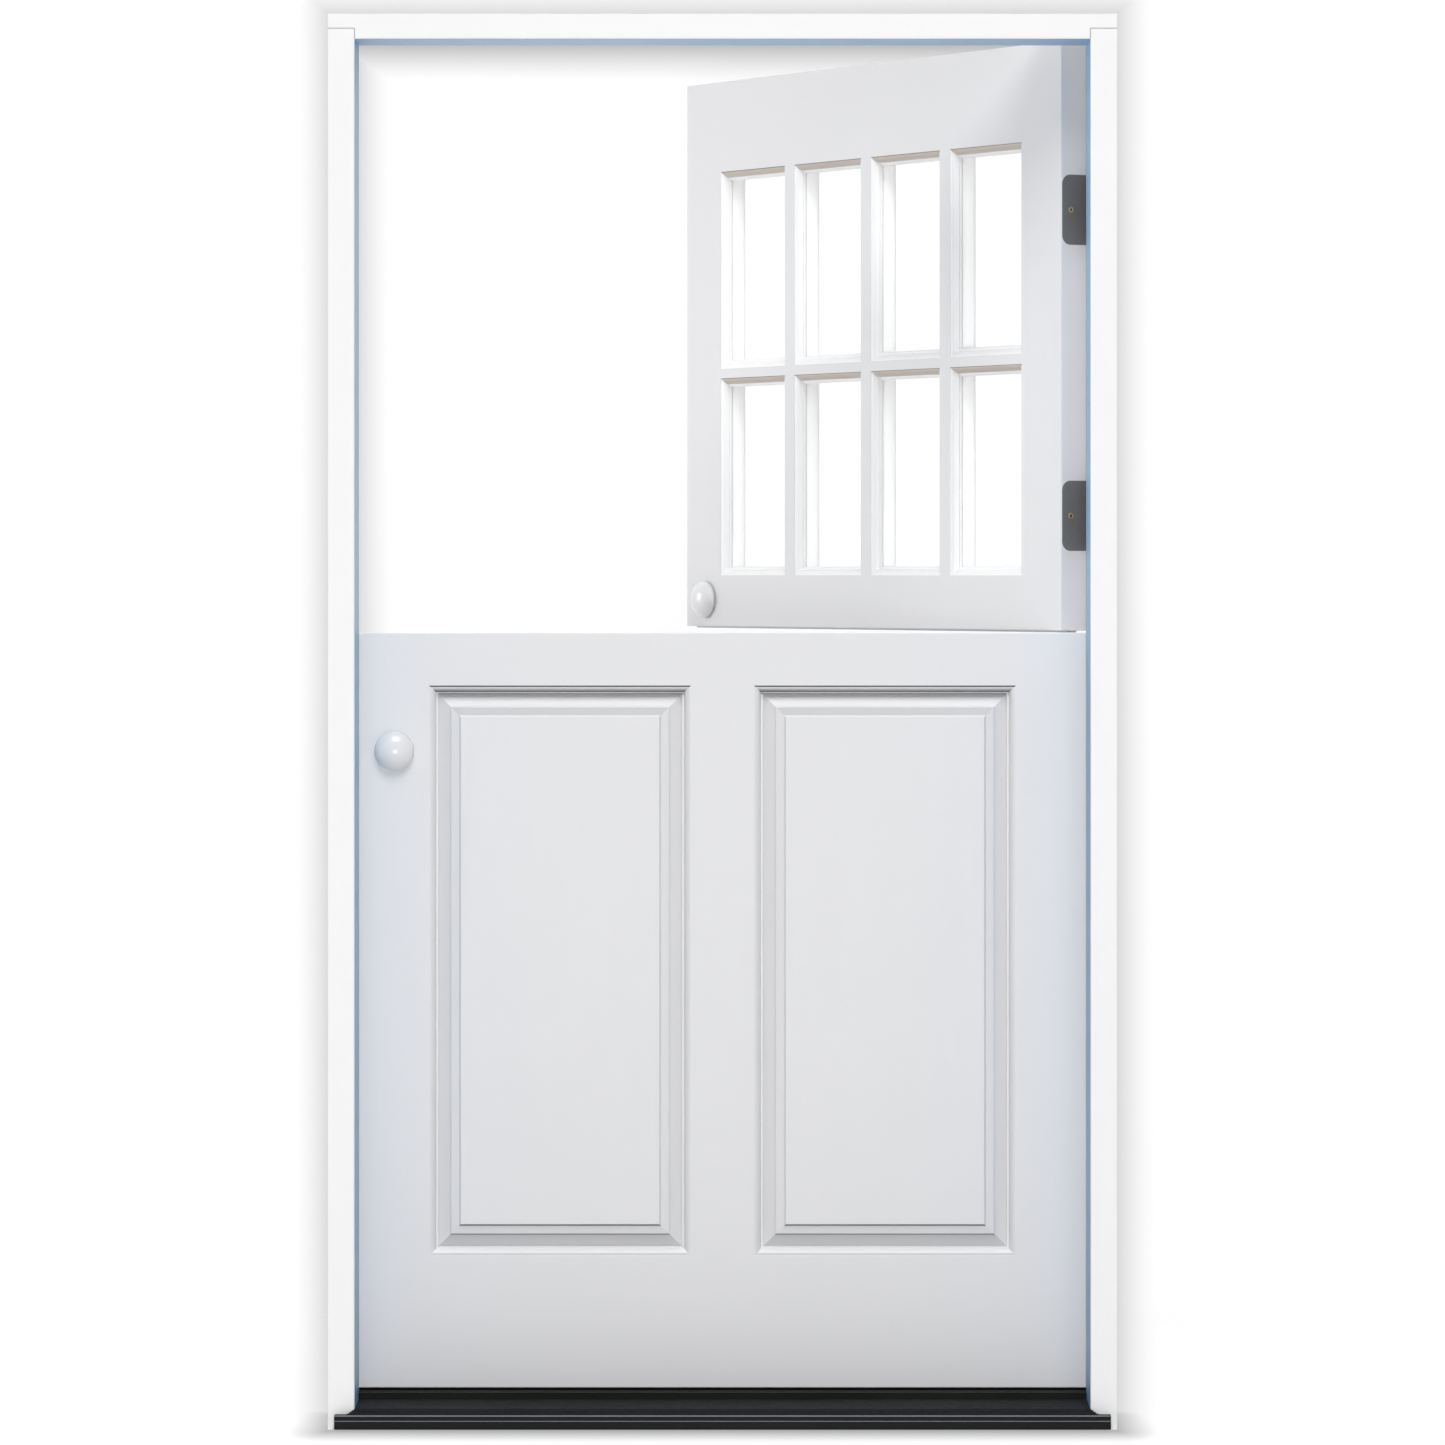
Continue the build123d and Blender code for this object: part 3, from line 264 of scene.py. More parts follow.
def surface(name, points, faces, material, body):
    """A new piece from its points and faces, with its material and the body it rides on."""
    mesh = bpy.data.meshes.new(name)
    mesh.from_pydata(points, [], faces)
    mesh.materials.append(material)
    piece = bpy.data.objects.new(name, mesh)
    bpy.context.scene.collection.objects.link(piece)
    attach(piece, body)
    return piece


def carried(ring, path, across, out):
    """A closed profile carried along a straight path and capped at both ends.

    A point is its place on the path, plus the profile's first number times across, plus its second
    times out. The profile's winding is turned so that every face looks outwards.
    """
    path, across, out = np.array(path, float), np.array(across, float), np.array(out, float)
    after = np.roll(ring, -1, axis=0)
    area = np.sum(ring[:, 0] * after[:, 1] - after[:, 0] * ring[:, 1]) / 2
    if area * np.dot(np.cross(across, out), path[-1] - path[0]) < 0:
        ring = ring[::-1]
    count, stations = len(ring), len(path)
    points = path[:, None] + ring[None, :, :1] * across + ring[None, :, 1:] * out
    here = np.arange(count)
    ahead = (here + 1) % count
    rows = np.arange(stations - 1)[:, None] * count
    quads = np.stack([here + rows, ahead + rows, ahead + rows + count, here + rows + count], axis=-1)
    caps = [here[::-1].tolist(), (here + (stations - 1) * count).tolist()]
    return points.reshape(-1, 3), quads.reshape(-1, 4).tolist() + caps


def bulb_profile(width, height, stem_at, stem_w, stem_d, barbs=3):
    """Half an ellipse, fuller than a true one, over the stop, closed by a stem whose barbs point back out."""
    turn = np.linspace(0, math.pi, 33)
    bulb = np.stack([width / 2 * (1 + np.sign(np.cos(turn)) * np.abs(np.cos(turn)) ** 0.75),
                     height * np.sin(turn) ** 0.75], axis=1)
    steps = np.arange(barbs)
    pitch = stem_d / barbs
    half = stem_w / 2
    down = -np.stack([steps * pitch, steps * pitch + pitch * 0.8], axis=1).ravel()
    side = np.tile([half * 0.45, half * 0.92], barbs)
    left = np.stack([stem_at - side, down], axis=1)
    right = np.stack([stem_at + side, down], axis=1)[::-1]
    tip = np.array([[stem_at, -stem_d]])
    return np.concatenate([bulb, left, tip, right])


def straight(start, end, stations):
    """Points from start to end, evenly spaced."""
    share = np.linspace(0, 1, stations)[:, None]
    return np.array(start) * (1 - share) + np.array(end) * share


seal_stem_at, seal_stem_w = 0.00515, 0.0026
for side, name in ((-1, "strike_side_seal"), (1, "hinge_side_seal")):
    low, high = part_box(name)
    bulb_w, bulb_h = high.x - low.x, high.y - stop_y
    wall = low.x if side < 0 else high.x
    ring = bulb_profile(bulb_w, bulb_h, seal_stem_at, seal_stem_w, stop_y - low.y)
    path = straight((wall, stop_y, low.z), (wall, stop_y, high.z), 60)
    points, faces = carried(ring, path, (-side, 0, 0), (0, 1, 0))
    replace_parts(surface(name + "_foam", points, faces, seal_material, "frame"), name)

low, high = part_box("head_seal")
ring = bulb_profile(high.z - low.z, high.y - stop_y, seal_stem_at, seal_stem_w, stop_y - low.y)
path = straight((low.x, stop_y, high.z), (high.x, stop_y, high.z), 40)
points, faces = carried(ring, path, (0, 0, -1), (0, 1, 0))
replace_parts(surface("head_seal_foam", points, faces, seal_material, "frame"), "head_seal")

# Sill: a black anodised tread with ribs, over a composite base and a composite cap that the lower
# leaf closes above. The tread's arrises are lighter, partly worn and partly a painted sheen, and
# pale lines along the long arrises are painted highlights.
anodised_black = (0.006, 0.0075, 0.0095, 1)
# The tread's arrises are painted lighter, partly as wear and partly as a painted sheen.
rib_wear_sheen = (0.070, 0.078, 0.088, 1)
# Pale lines painted as highlights along the sill's long arrises.
highlight_grey = (0.21, 0.21, 0.23, 1)
sill_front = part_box("sill_base")[0].y
cap_low, cap_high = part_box("sill_cap")


def highlight_lines(tree, place, colour):
    """The colour, with pale painted highlight lines along the sill's long arrises."""
    line_h = 0.0011
    nose_skin = 0.0025
    nose_top = 0.0222
    step_down = 0.0146
    y, z = step(tree, "ShaderNodeSeparateXYZ", {0: place}).outputs[1:]
    nose = maths(tree, "LESS_THAN", y, sill_front + nose_skin)
    top = within(tree, z, nose_top - line_h, nose_top + line_h / 2)
    mid = within(tree, z, step_down - line_h / 2, step_down + line_h / 2)
    on_nose = maths(tree, "MULTIPLY", nose, maths(tree, "MAXIMUM", top, mid))
    on_cap = within(tree, z, cap_high.z - line_h, cap_high.z + line_h)
    on_cap = maths(tree, "MULTIPLY", on_cap, maths(tree, "LESS_THAN", y, cap_low.y + line_h / 2))
    return blended(tree, maths(tree, "MAXIMUM", on_nose, on_cap), colour, highlight_grey)


tread_material, tree, shader, place = finish_of("sill_anodised")
drawn = stretched_noise(tree, place, (6, 900, 900), 3)
patches = stretched_noise(tree, place, (5, 9, 9), 2)
arrises = group(tree, eased_arris, {"Radius": 0.0006})
# Lighter arrises in patches: wear with a painted sheen.
wear_sheen = maths(tree, "MULTIPLY", arrises["Edge"], maths(tree, "ADD", patches, 0.25))
anodised = blended(tree, wear_sheen, anodised_black, rib_wear_sheen)
tree.links.new(highlight_lines(tree, place, anodised), shader.inputs["Base Color"])
rough = linear(tree, drawn, 0.18, 0.30)
tree.links.new(rough, shader.inputs["Roughness"])
bump = step(tree, "ShaderNodeBump", {"Strength": 0.2, "Distance": 0.0001, "Height": drawn,
                                     "Normal": arrises["Normal"]})
tree.links.new(bump.outputs[0], shader.inputs["Normal"])
shader.inputs["Specular IOR Level"].default_value = 0.08
coat(tread_material, "sill_tread")

composite_black = (0.0045, 0.0048, 0.0035, 1)
composite_dust = (0.026, 0.027, 0.023, 1)
composite_material, tree, shader, place = finish_of("sill_composite")
speckle = stretched_noise(tree, place, (900, 900, 900), 2)
patches = stretched_noise(tree, place, (7, 20, 20), 3)
share = maths(tree, "MULTIPLY", speckle, patches)
composite = blended(tree, share, composite_black, composite_dust)
tree.links.new(highlight_lines(tree, place, composite), shader.inputs["Base Color"])
arrises = group(tree, eased_arris, {"Radius": 0.0008})
bump = step(tree, "ShaderNodeBump", {"Strength": 0.25, "Distance": 0.0002, "Height": speckle,
                                     "Normal": arrises["Normal"]})
tree.links.new(bump.outputs[0], shader.inputs["Normal"])
shader.inputs["Roughness"].default_value = 0.55
shader.inputs["Specular IOR Level"].default_value = 0.07
coat(composite_material, "sill_base", "sill_cap")

# Lower leaf: stiles, rails and a mullion round two raised panels, all sprayed an even off-white
# after assembly, so no joint shows. Faces that look down and gentle up-slopes are painted darker
# as shade, faces that look up are painted lighter as a highlight, and the creases of the rails'
# mouldings carry thin painted shade lines.
leaf_white = (0.7605, 0.7605, 0.7758, 1)


def shaded_by_facing(tree, colour, under_shade, slope_shade, over_highlight):
    """The colour, with a painted shade where a face looks down and a painted highlight where it looks up.

    A gentle slope that looks up takes a painted slope shade.

    The share of each goes with the height of the face's normal, from a shallow slope to a steep one.
    """
    facing = step(tree, "ShaderNodeNewGeometry").outputs["True Normal"]
    up = step(tree, "ShaderNodeSeparateXYZ", {0: facing}).outputs[2]
    under = step(tree, "ShaderNodeMapRange", {0: up, 1: -0.32, 2: -0.85}).outputs[0]
    over = step(tree, "ShaderNodeMapRange", {0: up, 1: 0.40, 2: 0.75}).outputs[0]
    gentle = within(tree, up, 0.08, 0.40)
    colour = blended(tree, gentle, colour, slope_shade)
    return blended(tree, over, blended(tree, under, colour, under_shade), over_highlight)


# Painted tones by facing: a shade where a face looks down, a lighter shade on gentle up-slopes, a highlight
# where it looks up.
leaf_under_shade = (0.17, 0.17, 0.175, 1)
leaf_slope_shade = (0.635, 0.635, 0.645, 1)
leaf_over_highlight = (0.93, 0.93, 0.94, 1)
# Thin dark lines painted as shade in the creases of the rails' mouldings.
shade_line_grey = (0.030, 0.030, 0.030, 1)
stick_w = 0.0127


def leaf_timber(name, along_rail):
    """Off-white paint with the grain along the piece, painted darker or lighter by facing as shade and
    highlight, with painted shade lines in the rails' creases.
    """
    crease_h = 0.0013
    material, tree, shader, place = finish_of(name)
    y, z = step(tree, "ShaderNodeSeparateXYZ", {0: place}).outputs[1:]
    stick_foot = leaf_low.z
    stick_top = stick_foot + stick_w
    # Painted shade lines in the creases at the top and the foot of the sticking.
    shade_lines = maths(tree, "MAXIMUM", within(tree, z, stick_top - crease_h * 1.6, stick_top),
                    within(tree, z, stick_foot - crease_h / 4, stick_foot + crease_h))
    behind_face = within(tree, y, leaf_low.y + crease_h / 6, leaf_high.y - crease_h)
    shade_lines = maths(tree, "MULTIPLY", shade_lines, behind_face)
    colour = shaded_by_facing(tree, leaf_white, leaf_under_shade, leaf_slope_shade, leaf_over_highlight)
    if along_rail:
        colour = blended(tree, shade_lines, colour, shade_line_grey)
    paint_on(tree, shader, place, colour, along_rail)
    return material


coat(leaf_timber("lower_leaf_upright", 0), "lower_latch_stile", "lower_hinge_stile", "mullion", "left_panel",
     "right_panel")
coat(leaf_timber("lower_leaf_level", 1), "lower_top_rail", "lower_bottom_rail")

# Door sweep: a black vinyl strip under the lower leaf, pressed into its kerf, with five soft lips that
# wipe the sill's cap. The meeting seal under the upper leaf is the same strip in pale grey.
sweep_black = (0.020, 0.020, 0.021, 1)
sweep_material, tree, shader, place = finish_of("sweep_vinyl")
streaks = stretched_noise(tree, place, (8, 700, 700), 3)
chalky = stretched_noise(tree, place, (35, 35, 35), 3)
tree.links.new(blended(tree, maths(tree, "MULTIPLY", streaks, chalky), sweep_black, (0.06, 0.06, 0.06, 1)),
               shader.inputs["Base Color"])
tree.links.new(linear(tree, streaks, 0.2, 0.42), shader.inputs["Roughness"])


def lipped_profile(width, top, low, stem_w, stem_d, lips=5):
    """A strip across its width: a flat top with a stem in the middle, and lips that hang like narrow arches.

    Between its two sides the underside lies at low plus the body's share, and falls to low at the
    middle of each lip as the square of a sine.
    """
    u = np.linspace(-width / 2, width / 2, lips * 8 + 1)
    arch = np.abs(np.sin(lips * math.pi * (u / width + 0.5))) ** 1.5
    under = np.stack([u, low + (top - low) * 0.7 * (1 - arch)], axis=1)
    half = stem_w / 2
    over = np.array([(width / 2, top), (half, top), (half, top + stem_d), (-half, top + stem_d), (-half, top),
                     (-width / 2, top)])
    return np.concatenate([under, over])


sweep_w = 0.012
sweep_stem_w = 0.0028
stem_room = 0.0002
low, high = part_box("door_sweep")
leaf_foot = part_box("lower_bottom_rail")[0].z
middle_y = (low.y + high.y) / 2
ring = lipped_profile(sweep_w, leaf_foot, low.z, sweep_stem_w, high.z - leaf_foot - stem_room)
path = straight((low.x, middle_y, 0), (high.x, middle_y, 0), 30)
points, faces = carried(ring, path, (0, 1, 0), (0, 0, 1))
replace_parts(surface("sweep_strip", points, faces, sweep_material, "lower_leaf"), "door_sweep")

# Upper leaf: it stands open, so its grain follows a frame of its own that is turned back about the
# hinge pins. The undersides over the panes are painted a warm shade.
swing = joints["upper_leaf_swing"]
pin_x, pin_y = swing["pos_m"][:2]
open_angle = math.radians(-swing["range_deg"][0])
# A warm painted shade for the faces over the panes that look down.
warm_under_shade = (0.52, 0.455, 0.405, 1)


def along_open_leaf(tree, place):
    """The place as it would be with the leaf shut: turned back about the hinge pins."""
    turn_cos, turn_sin = math.cos(open_angle), math.sin(open_angle)
    shift = (pin_x - turn_cos * pin_x + turn_sin * pin_y, pin_y - turn_sin * pin_x - turn_cos * pin_y, 0)
    back = {"Vector": place, "Rotation": (0, 0, open_angle), "Location": shift}
    return step(tree, "ShaderNodeMapping", back).outputs[0]


def turned_open(points):
    """Places given for the shut leaf, turned about the hinge pins to where it stands open."""
    turn_cos, turn_sin = math.cos(open_angle), math.sin(open_angle)
    off = points - np.array([pin_x, pin_y, 0])
    turned_x = off[:, 0] * turn_cos + off[:, 1] * turn_sin
    turned_y = off[:, 1] * turn_cos - off[:, 0] * turn_sin
    turned = np.stack([turned_x, turned_y, off[:, 2]], axis=1)
    return turned + np.array([pin_x, pin_y, 0])


def shut_middle(name):
    """The middle of a node on the open leaf, in the place it has with the leaf shut."""
    low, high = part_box(name)
    turn_cos, turn_sin = math.cos(open_angle), math.sin(open_angle)
    x, y, z = np.array((low + high) / 2) - swing_place
    return np.array([pin_x + x * turn_cos - y * turn_sin, pin_y + x * turn_sin + y * turn_cos, z])


pane_low, pane_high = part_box("pane_1")
swing_place = np.array([pin_x, pin_y, 0])
pane_middles = np.array([shut_middle(f"pane_{n}") for n in range(1, 9)])
turn_cos, turn_sin = math.cos(open_angle), math.sin(open_angle)
across_x, across_y = pane_high.x - pane_low.x, pane_high.y - pane_low.y
spread = turn_cos ** 2 - turn_sin ** 2
pane_w = abs((across_x * turn_cos - across_y * turn_sin) / spread)
pane_t = abs((across_y * turn_cos - across_x * turn_sin) / spread)
pane_h = pane_high.z - pane_low.z
face_y = leaf_low.y
leaf_t = leaf_high.y - leaf_low.y
lites_x = (pane_middles[:, 0].min() - pane_w / 2, pane_middles[:, 0].max() + pane_w / 2)
lites_z = (pane_middles[:, 2].min() - pane_h / 2, pane_middles[:, 2].max() + pane_h / 2)
pane_play = 0.0015
lite_tops = [pane_middles[n, 2] + pane_h / 2 + pane_play for n in (0, 4)]
sight_white = (0.93, 0.93, 0.935, 1)
# A dark painted shade line at the top of each row of lites.
lite_shade_brown = (0.20, 0.165, 0.14, 1)


def glazed_timber(name, along_rail):
    """Off-white paint, a cleaner white inside the lites, a warm painted shade over each pane, and a dark
    painted shade line at the top of each row of lites.
    """
    crease_h = 0.0011
    skin_d = 0.0008
    edge_room = 0.0025
    material, tree, shader, place = finish_of(name)
    place = along_open_leaf(tree, place)
    x, y, z = step(tree, "ShaderNodeSeparateXYZ", {0: place}).outputs
    facing = step(tree, "ShaderNodeNewGeometry").outputs["True Normal"]
    down = step(tree, "ShaderNodeSeparateXYZ", {0: facing}).outputs[2]
    inside = within(tree, x, lites_x[0] - edge_room, lites_x[1] + edge_room)
    inside = maths(tree, "MULTIPLY", inside, within(tree, z, lites_z[0] - edge_room, lites_z[1] + edge_room))
    inside = maths(tree, "MULTIPLY", inside, within(tree, y, face_y + skin_d, face_y + leaf_t - skin_d))
    # Faces inside the lites that look down take the warm painted shade.
    under = step(tree, "ShaderNodeMapRange", {0: down, 1: -0.02, 2: -0.14}).outputs[0]
    colour = blended(tree, inside, leaf_white, sight_white)
    colour = blended(tree, maths(tree, "MULTIPLY", inside, under), colour, warm_under_shade)
    # Painted shade line along the top of each row of lites.
    lite_shade_line = 0.0
    for row_top in lite_tops:
        lite_shade_line = maths(tree, "MAXIMUM", lite_shade_line, within(tree, z, row_top - crease_h, row_top + crease_h / 4))
    lite_shade_line = maths(tree, "MULTIPLY", lite_shade_line, maths(tree, "GREATER_THAN", y, face_y + skin_d / 2))
    lite_shade_line = maths(tree, "MULTIPLY", lite_shade_line, maths(tree, "LESS_THAN", down, 0.1))
    colour = blended(tree, maths(tree, "MULTIPLY", lite_shade_line, inside), colour, lite_shade_brown)
    paint_on(tree, shader, place, colour, along_rail)
    return material


coat(glazed_timber("upper_leaf_upright", 0), "upper_latch_stile", "upper_hinge_stile", "upright_bars")
coat(glazed_timber("upper_leaf_level", 1), "upper_bottom_rail", "upper_top_rail", "cross_bars",
     "glazing_beads")

low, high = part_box("meeting_seal")
seal_middle = shut_middle("meeting_seal")
seal_l = abs(((high.x - low.x) * turn_cos - (high.y - low.y) * turn_sin) / spread)
leaf_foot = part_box("upper_bottom_rail")[0].z
ring = lipped_profile(sweep_w, leaf_foot, low.z, sweep_stem_w, high.z - leaf_foot - stem_room)
start, end = seal_middle - (seal_l / 2, 0, seal_middle[2]), seal_middle + (seal_l / 2, 0, -seal_middle[2])
points, faces = carried(ring, straight(start, end, 30), (0, 1, 0), (0, 0, 1))
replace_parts(surface("meeting_strip", turned_open(points), faces, seal_material, "upper_leaf"),
            "meeting_seal")

# Panes: clear float glass, with its faint waves. Shadow rays pass through it with a faint cool tint.
glass_material, tree, shader, place = finish_of("pane_glass")
wave = stretched_noise(tree, place, (4, 4, 9), 1)
bump = step(tree, "ShaderNodeBump", {"Strength": 0.05, "Distance": 0.0005, "Height": wave})
tree.links.new(bump.outputs[0], shader.inputs["Normal"])
shader.inputs["Base Color"].default_value = (1, 1, 1, 1)
shader.inputs["Roughness"].default_value = 0.0
shader.inputs["IOR"].default_value = 1.5
shader.inputs["Transmission Weight"].default_value = 1.0
lamp_ray = step(tree, "ShaderNodeLightPath").outputs["Is Shadow Ray"]
through = step(tree, "ShaderNodeBsdfTransparent", {"Color": (0.95, 0.96, 0.96, 1)}).outputs[0]
mixed = step(tree, "ShaderNodeMixShader", {0: lamp_ray, 1: shader.outputs[0], 2: through})
tree.links.new(mixed.outputs[0], tree.nodes["Material Output"].inputs["Surface"])
coat(glass_material, *[f"pane_{n}" for n in range(1, 9)])

# Glazing sealant: a thin white fillet, tooled smooth, round the outer side of each pane.
sealant_white = (0.90, 0.90, 0.89, 1)
sealant_material, tree, shader, place = finish_of("sealant")
tooled = stretched_noise(tree, place, (160, 160, 160), 2)
shade = linear(tree, tooled, 0.05, 0.96)
tree.links.new(scaled(tree, sealant_white[:3], shade), shader.inputs["Base Color"])
bump = step(tree, "ShaderNodeBump", {"Strength": 0.2, "Distance": 0.0003, "Height": tooled})
tree.links.new(bump.outputs[0], shader.inputs["Normal"])
shader.inputs["Roughness"].default_value = 0.42


def fillet_round(centre, half_w, half_h, glass_y, reach, rise, back):
    """A hollow fillet carried round a rectangle, with mitred corners.

    The profile starts on the timber, rise in front of the glass, and runs in a quarter hollow to
    the glass, reach inside the rectangle. It then goes back behind itself, so the bead is closed.
    """
    turn = np.linspace(0, math.pi / 2, 9)
    hollow = np.stack([reach * (1 - np.cos(turn)), -rise * (1 - np.sin(turn))], axis=1)
    ring = np.concatenate([hollow, [[reach, back], [-back, back], [-back, -rise]]])
    corners = np.array([(-1, -1), (1, -1), (1, 1), (-1, 1)])
    wide = corners[:, None, 0] * (half_w - ring[None, :, 0])
    high = corners[:, None, 1] * (half_h - ring[None, :, 0])
    deep = np.broadcast_to(glass_y + ring[None, :, 1], wide.shape)
    points = np.stack([centre[0] + wide, deep, centre[2] + high], axis=-1).reshape(-1, 3)
    count = len(ring)
    here = np.arange(count)
    ahead = (here + 1) % count
    quads = [np.stack([here + a * count, here + b * count, ahead + b * count, ahead + a * count], axis=1)
             for a, b in ((0, 1), (1, 2), (2, 3), (3, 0))]
    return points, np.concatenate(quads)


sealant_reach, sealant_rise, sealant_back = 0.0018, 0.0016, 0.0002
sight_in = 0.0105
glass_front = pane_middles[0, 1] - pane_t / 2
points, faces = [], []
for n, centre in enumerate(pane_middles):
    ring_points, ring_faces = fillet_round(centre, pane_w / 2 - sight_in, pane_h / 2 - sight_in, glass_front,
                                           sealant_reach, sealant_rise, sealant_back)
    faces.append(ring_faces + n * len(ring_points))
    points.append(ring_points)
surface("glazing_sealant", turned_open(np.concatenate(points)), np.concatenate(faces).tolist(),
        sealant_material, "upper_leaf")

# Hinges: dark grey butt hinges, plates let in flush, with a fixed pin. The middle screw of each
# plate is bare dark steel, and the others are painted with the plates.
hinge_grey = (0.165, 0.165, 0.165, 1)
hinge_bare = (0.24, 0.24, 0.24, 1)
hinge_material, tree, shader, place = finish_of("hinge_dark_grey")
fine = stretched_noise(tree, place, (1300, 1300, 1300), 2)
broad = stretched_noise(tree, place, (30, 30, 30), 2)
arrises = group(tree, eased_arris, {"Radius": 0.0005})
worn = maths(tree, "MULTIPLY", arrises["Edge"], broad)
tree.links.new(blended(tree, worn, hinge_grey, hinge_bare), shader.inputs["Base Color"])
tree.links.new(linear(tree, fine, 0.2, 0.38), shader.inputs["Roughness"])
bump = step(tree, "ShaderNodeBump", {"Strength": 0.15, "Distance": 0.0001, "Height": fine,
                                     "Normal": arrises["Normal"]})
tree.links.new(bump.outputs[0], shader.inputs["Normal"])
plates = [f"{leaf}_{end}_hinge_{side}_plate" for leaf in ("upper", "lower") for end in ("top", "bottom")
          for side in ("jamb", "leaf")]
coat(hinge_material, "hinge_pins", *plates)

jamb_plates = [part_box(name) for name in plates if name.endswith("jamb_plate")]
hinge_heights = [(low.z + high.z) / 2 for low, high in jamb_plates]
middle_out = 0.0169
head_r = 0.0039
brass = (0.72, 0.60, 0.40, 1)


def screw_metal(name, leaf_open=False):
    """Screws painted with the plates, and a bare dark steel one at each hinge's middle."""
    reach = head_r * 1.2
    middle_y = face_y + middle_out
    material, tree, shader, place = finish_of(name)
    shut = along_open_leaf(tree, place) if leaf_open else place
    y, z = step(tree, "ShaderNodeSeparateXYZ", {0: shut}).outputs[1:]
    middle = 0.0
    for height in hinge_heights:
        middle = maths(tree, "MAXIMUM", middle, within(tree, z, height - reach, height + reach))
    near = within(tree, y, middle_y - reach, middle_y + reach)
    middle = maths(tree, "MULTIPLY", middle, near)
    marks = stretched_noise(tree, place, (500, 500, 500), 3)
    tone = blended(tree, marks, (0.05, 0.05, 0.05, 1), (0.09, 0.085, 0.08, 1))
    tree.links.new(blended(tree, middle, hinge_grey, tone), shader.inputs["Base Color"])
    tree.links.new(linear(tree, marks, 0.2, 0.38), shader.inputs["Roughness"])
    tree.links.new(maths(tree, "MULTIPLY", middle, 0.8), shader.inputs["Metallic"])
    return material


coat(screw_metal("screw_metal"), "frame_screws", "jamb_screws", "lower_leaf_screws")
coat(screw_metal("screw_metal_open_leaf", leaf_open=True), "upper_leaf_screws")

# Screw cups: a small turned brass ring under the head of each hinge's middle screw, on the leaf side.
brass_material, tree, shader, place = finish_of("cup_brass")
turned_marks = stretched_noise(tree, place, (900, 900, 900), 3)
tree.links.new(blended(tree, turned_marks, (0.52, 0.40, 0.22, 1), brass), shader.inputs["Base Color"])
tree.links.new(linear(tree, turned_marks, 0.2, 0.3), shader.inputs["Roughness"])
tree.links.new(linear(tree, turned_marks, 0.1, 0.65), shader.inputs["Metallic"])


def turned_ring(centre, inner, outer, proud, sunk):
    """A ring turned about the X axis, as a grid of angle round it and angle over its section.

    A section point is the mean radius plus half the width times a cosine, and the height times a
    sine, cut off below at the depth that is sunk.
    """
    turns, steps = 40, 14
    round_at = np.linspace(0, 2 * math.pi, turns, endpoint=False)[:, None]
    over = np.linspace(0, 2 * math.pi, steps, endpoint=False)[None, :]
    radius = (inner + outer) / 2 + (outer - inner) / 2 * np.cos(over)
    lift = np.maximum(proud * np.sin(over), -sunk) + 0 * round_at
    points = np.stack([centre[0] + lift, centre[1] + radius * np.cos(round_at),
                       centre[2] + radius * np.sin(round_at)], axis=-1)
    across = np.arange(steps)
    beyond = (across + 1) % steps
    row = np.arange(turns)[:, None] * steps
    next_row = np.roll(row, -1, axis=0)
    quads = np.stack([row + across, next_row + across, next_row + beyond, row + beyond], axis=-1)
    return points.reshape(-1, 3), quads.reshape(-1, 4)[:, ::-1].tolist()


half_side_gap = 0.0015
cup_inner, cup_outer, cup_proud, cup_sunk = 0.0018, 0.0044, 0.0005, 0.0002
for name, height in zip(("upper_top", "upper_bottom", "lower_top", "lower_bottom"), hinge_heights):
    centre = (pin_x - half_side_gap, face_y + middle_out, height)
    points, faces = turned_ring(centre, cup_inner, cup_outer, cup_proud, cup_sunk)
    leaf = name.split("_")[0]
    if leaf == "upper":
        points = turned_open(points)
    surface(f"{name}_screw_cup", points, faces, brass_material, f"{leaf}_leaf")

# Latches: a tubular case with a faceplate, a sprung bolt and a flat strike, all satin steel brushed
# along their length. The bolt that joins the leaves is made of the same stock.
steel = (0.56, 0.56, 0.57, 1)
steel_material, tree, shader, place = finish_of("latch_satin_steel")
brushed = stretched_noise(tree, place, (1500, 1500, 25), 2)
smudge = stretched_noise(tree, place, (18, 18, 18), 2)
arrises = group(tree, eased_arris, {"Radius": 0.0004})
shade = linear(tree, brushed, 0.10, 0.94)
tinted = scaled(tree, steel[:3], shade)
tree.links.new(tinted, shader.inputs["Base Color"])
rough = linear(tree, brushed, 0.16, 0.20)
tree.links.new(maths(tree, "ADD", rough, maths(tree, "MULTIPLY", smudge, 0.10)), shader.inputs["Roughness"])
bump = step(tree, "ShaderNodeBump", {"Strength": 0.15, "Distance": 0.0001, "Height": brushed,
                                     "Normal": arrises["Normal"]})
tree.links.new(bump.outputs[0], shader.inputs["Normal"])
shader.inputs["Metallic"].default_value = 1.0
coat(steel_material, "strike_plates", "upper_latch_case", "lower_latch_case", "upper_latch_bolt",
     "lower_latch_bolt", "joiner_guides", "joiner_rod", "joiner_keeper")

# Knobs: low turned domes in white enamel, one each side of both leaves.
enamel_white = (0.84, 0.84, 0.845, 1)
enamel_material, tree, shader, place = finish_of("knob_enamel")
skin = stretched_noise(tree, place, (260, 260, 260), 2)
drift = stretched_noise(tree, place, (40, 40, 40), 2)
shade = linear(tree, drift, 0.03, 0.98)
tinted = scaled(tree, enamel_white[:3], shade)
tree.links.new(tinted, shader.inputs["Base Color"])
tree.links.new(linear(tree, drift, 0.08, 0.16), shader.inputs["Roughness"])
bump = step(tree, "ShaderNodeBump", {"Strength": 0.08, "Distance": 0.0002, "Height": skin})
tree.links.new(bump.outputs[0], shader.inputs["Normal"])


